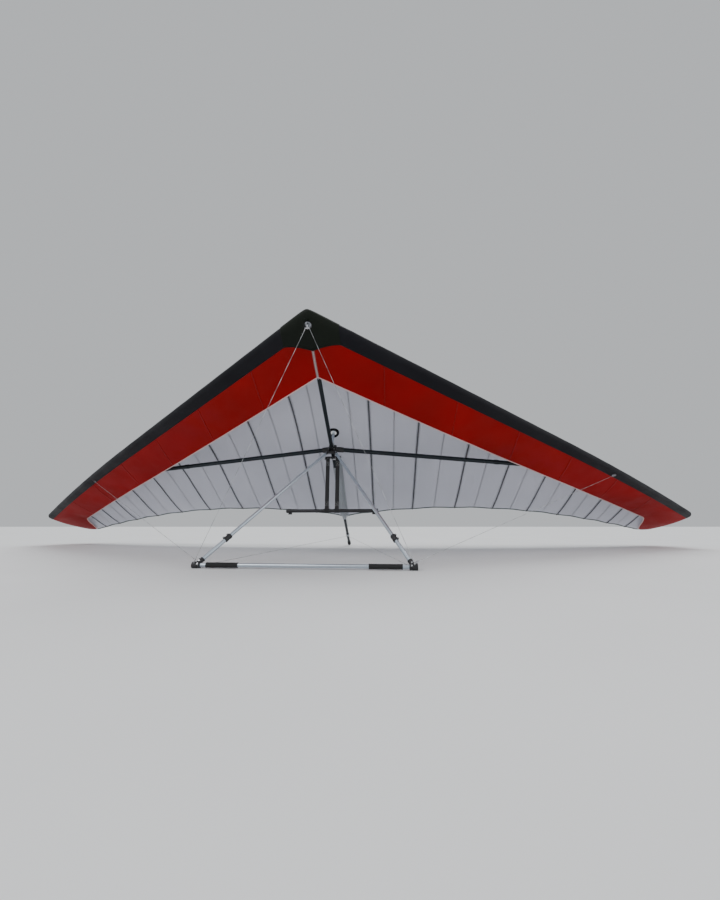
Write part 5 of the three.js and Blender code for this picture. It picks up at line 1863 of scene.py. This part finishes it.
def zigzag(line, sideways, wide, pitch):
    """Middle and direction of each stitch along a line."""
    run = run_of(line)
    at = np.arange(0, run[-1], pitch)
    spots = np.column_stack([np.interp(at, run, column) for column in line.T])
    swing = np.where(np.arange(len(spots)) % 2, 1, -1)[:, None] * wide / 2
    spots = spots + sideways * swing
    return (spots[1:] + spots[:-1]) / 2, spots[1:] - spots[:-1]


def sew(name, lines, sideways, up, thread, slot, wide=0.005, pitch=0.007, placed=False, **look):
    """Sews lines with stitches that lean sideways and lie flat under the way up."""
    stitches = [zigzag(line, sideways, wide, pitch) for line in lines]
    points, ways = (np.concatenate(parts) for parts in zip(*stitches))
    stitches = point_seeds(points, placed=placed, facing=ways, up=up)
    grow(name, stitches, STITCH_TREE, thread, slot, **look)


def line_on(x, ys, height, lift):
    x, ys = np.broadcast_arrays(x, ys)
    return np.column_stack([x, ys, height(np.abs(x), ys) + lift])


print(len(zigzag(np.outer([0, 1], Y), X, 0.005, 0.007)[0]), "stitches to a metre of seam")

# %% [markdown]
# Lapped panels are sewn on both faces and the hem in two rows. The wrap and the nose cone are
# sewn along their rear edges, and each strap with crossed boxes above the bar and under the pin.

# %% Sew the glider
white_lines = [
    line_on(*line, top_face, lift)
    for line in top_lines
    for lift in (SEAM_LIFT + THREAD_LIFT, -CLOTH_THICKNESS - THREAD_LIFT)
]
red_lines = [line_on(*line, skin_z, -SEAM_LIFT - 0.0008) for line in red_lines]
sew("seam_thread", white_lines, X, Z, GREY_THREAD, "white_cloth")
sew("undersurface_thread", red_lines, X, Z, DARK_THREAD, "red_cloth")

hem_x = np.linspace(0, HEM_TO, 240)
hem_lines = [
    line_on(side * hem_x, hem_y(hem_x) - HEM_WIDTH * share, top_face, lift)
    for side in (1, -1)
    for share in (0.2, 0.85)
    for lift in (THREAD_LIFT, -CLOTH_THICKNESS - THREAD_LIFT)
]
sew("hem_thread", hem_lines, Y, Z, DARK_THREAD, "white_cloth", pitch=LAP_PITCH)

lap_x, cone_x = np.linspace(POCKET_START + 0.05, 4.86, 260), np.linspace(0, CONE_HALF, 30)
lap_lift, cone_lift = wrap_lift(lap_x) + 0.0004, CONE_OFF + 0.0004
LAPS = (
    (lap_x, lip_top_y(lap_x) - 0.008, top_z, lap_lift),
    (lap_x, lip_below_y(lap_x) - 0.008, under_z, -lap_lift),
    (cone_x, lip_top_y(cone_x) - 0.009, top_z, cone_lift),
    (cone_x, cone_below_y(cone_x) - 0.009, under_z, -cone_lift),
)
laps = [line_on(side * x, *lap) for side in (1, -1) for x, *lap in LAPS]
sew("leading_edge_thread", laps, Y, Z, DARK_THREAD, "black_cloth", pitch=LAP_PITCH)

pocket_lines = []
for x in BATTENS:
    ys = np.linspace(lip_top_y(x) + 0.04, hem_y(x) - 0.03, 30)
    for edge in (-0.0165, 0.0165):
        pocket_lines += [line_on(side * (x + edge), ys, top_face, -0.0019) for side in (1, -1)]
pocket_look = dict(wide=0.0016, pitch=LAP_PITCH)
sew("pocket_thread", pocket_lines, X, Z, GREY_THREAD, "white_cloth", **pocket_look)

flange_x = KEEL_RADIUS + SLEEVE_SIDE + 0.016
flange_z = top_z(0.0, sleeve_y) - SAIL_DEPTH + 0.0015
sleeve_line = np.column_stack([np.full_like(sleeve_y, flange_x), sleeve_y, flange_z])
sew("sleeve_thread", both([sleeve_line]), X, Z, THREAD, "white_cloth")

BOX_X = np.array([-0.018, 0.018, 0.018, -0.018, -0.018, 0.018, 0.018, -0.018])
box_lines = []
for x in (STRAP_X, -STRAP_X):
    for y in (WEB + GAP / 2 + THREAD_LIFT, -WEB - GAP / 2 - THREAD_LIFT):
        for top, low in ((-0.03, -0.075), (-0.5, -0.545)):
            box_z = np.array([top, top, low, low, top, low, top, low])
            box_lines.append(PIVOT + np.column_stack([x + BOX_X, np.full(8, y), box_z]))
box_look = dict(wide=0.0, pitch=0.0042, Length=0.0034, Thickness=0.0005, **swings)
sew("strap_thread", box_lines, Z, Y, THREAD, "webbing", **box_look)

# %% [markdown]


# %% [markdown]
# ## All the bolts, tangs and wire ends
# The cells above only gathered the tangs, and noted where each bolt sits and each wire ends. Now
# each tree runs once, so that all bolts are one piece and all thimbles another.

# %% Put in the bolts, the tangs and the wire ends
at, facing, size = (np.array(values) for values in zip(*bolts))
bolt_look = dict(smooth=30, Across=0.011, Height=0.0042)
grow("frame_bolts", point_seeds(at, size, facing=facing), BOLT_TREE, STEEL, **bolt_look)
side_tangs.mirror().piece("side_tangs", STEEL, bevel=0.0004)
middle_tangs.piece("middle_tangs", STEEL, bevel=0.0004)
at, facing, up = (np.array(values) for values in zip(*wire_ends))
end_seeds = point_seeds(at, facing=facing, up=up)
grow("wire_thimbles", end_seeds, WIRE_END_TREE, STEEL, "steel_wire")

# %% [markdown]
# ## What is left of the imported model
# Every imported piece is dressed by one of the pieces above. This cell makes sure of that.

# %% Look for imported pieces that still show
left_over = [name for name, piece in frame["nodes"].items() if not piece.hide_render]
print("packed pieces that show:", left_over or "none")
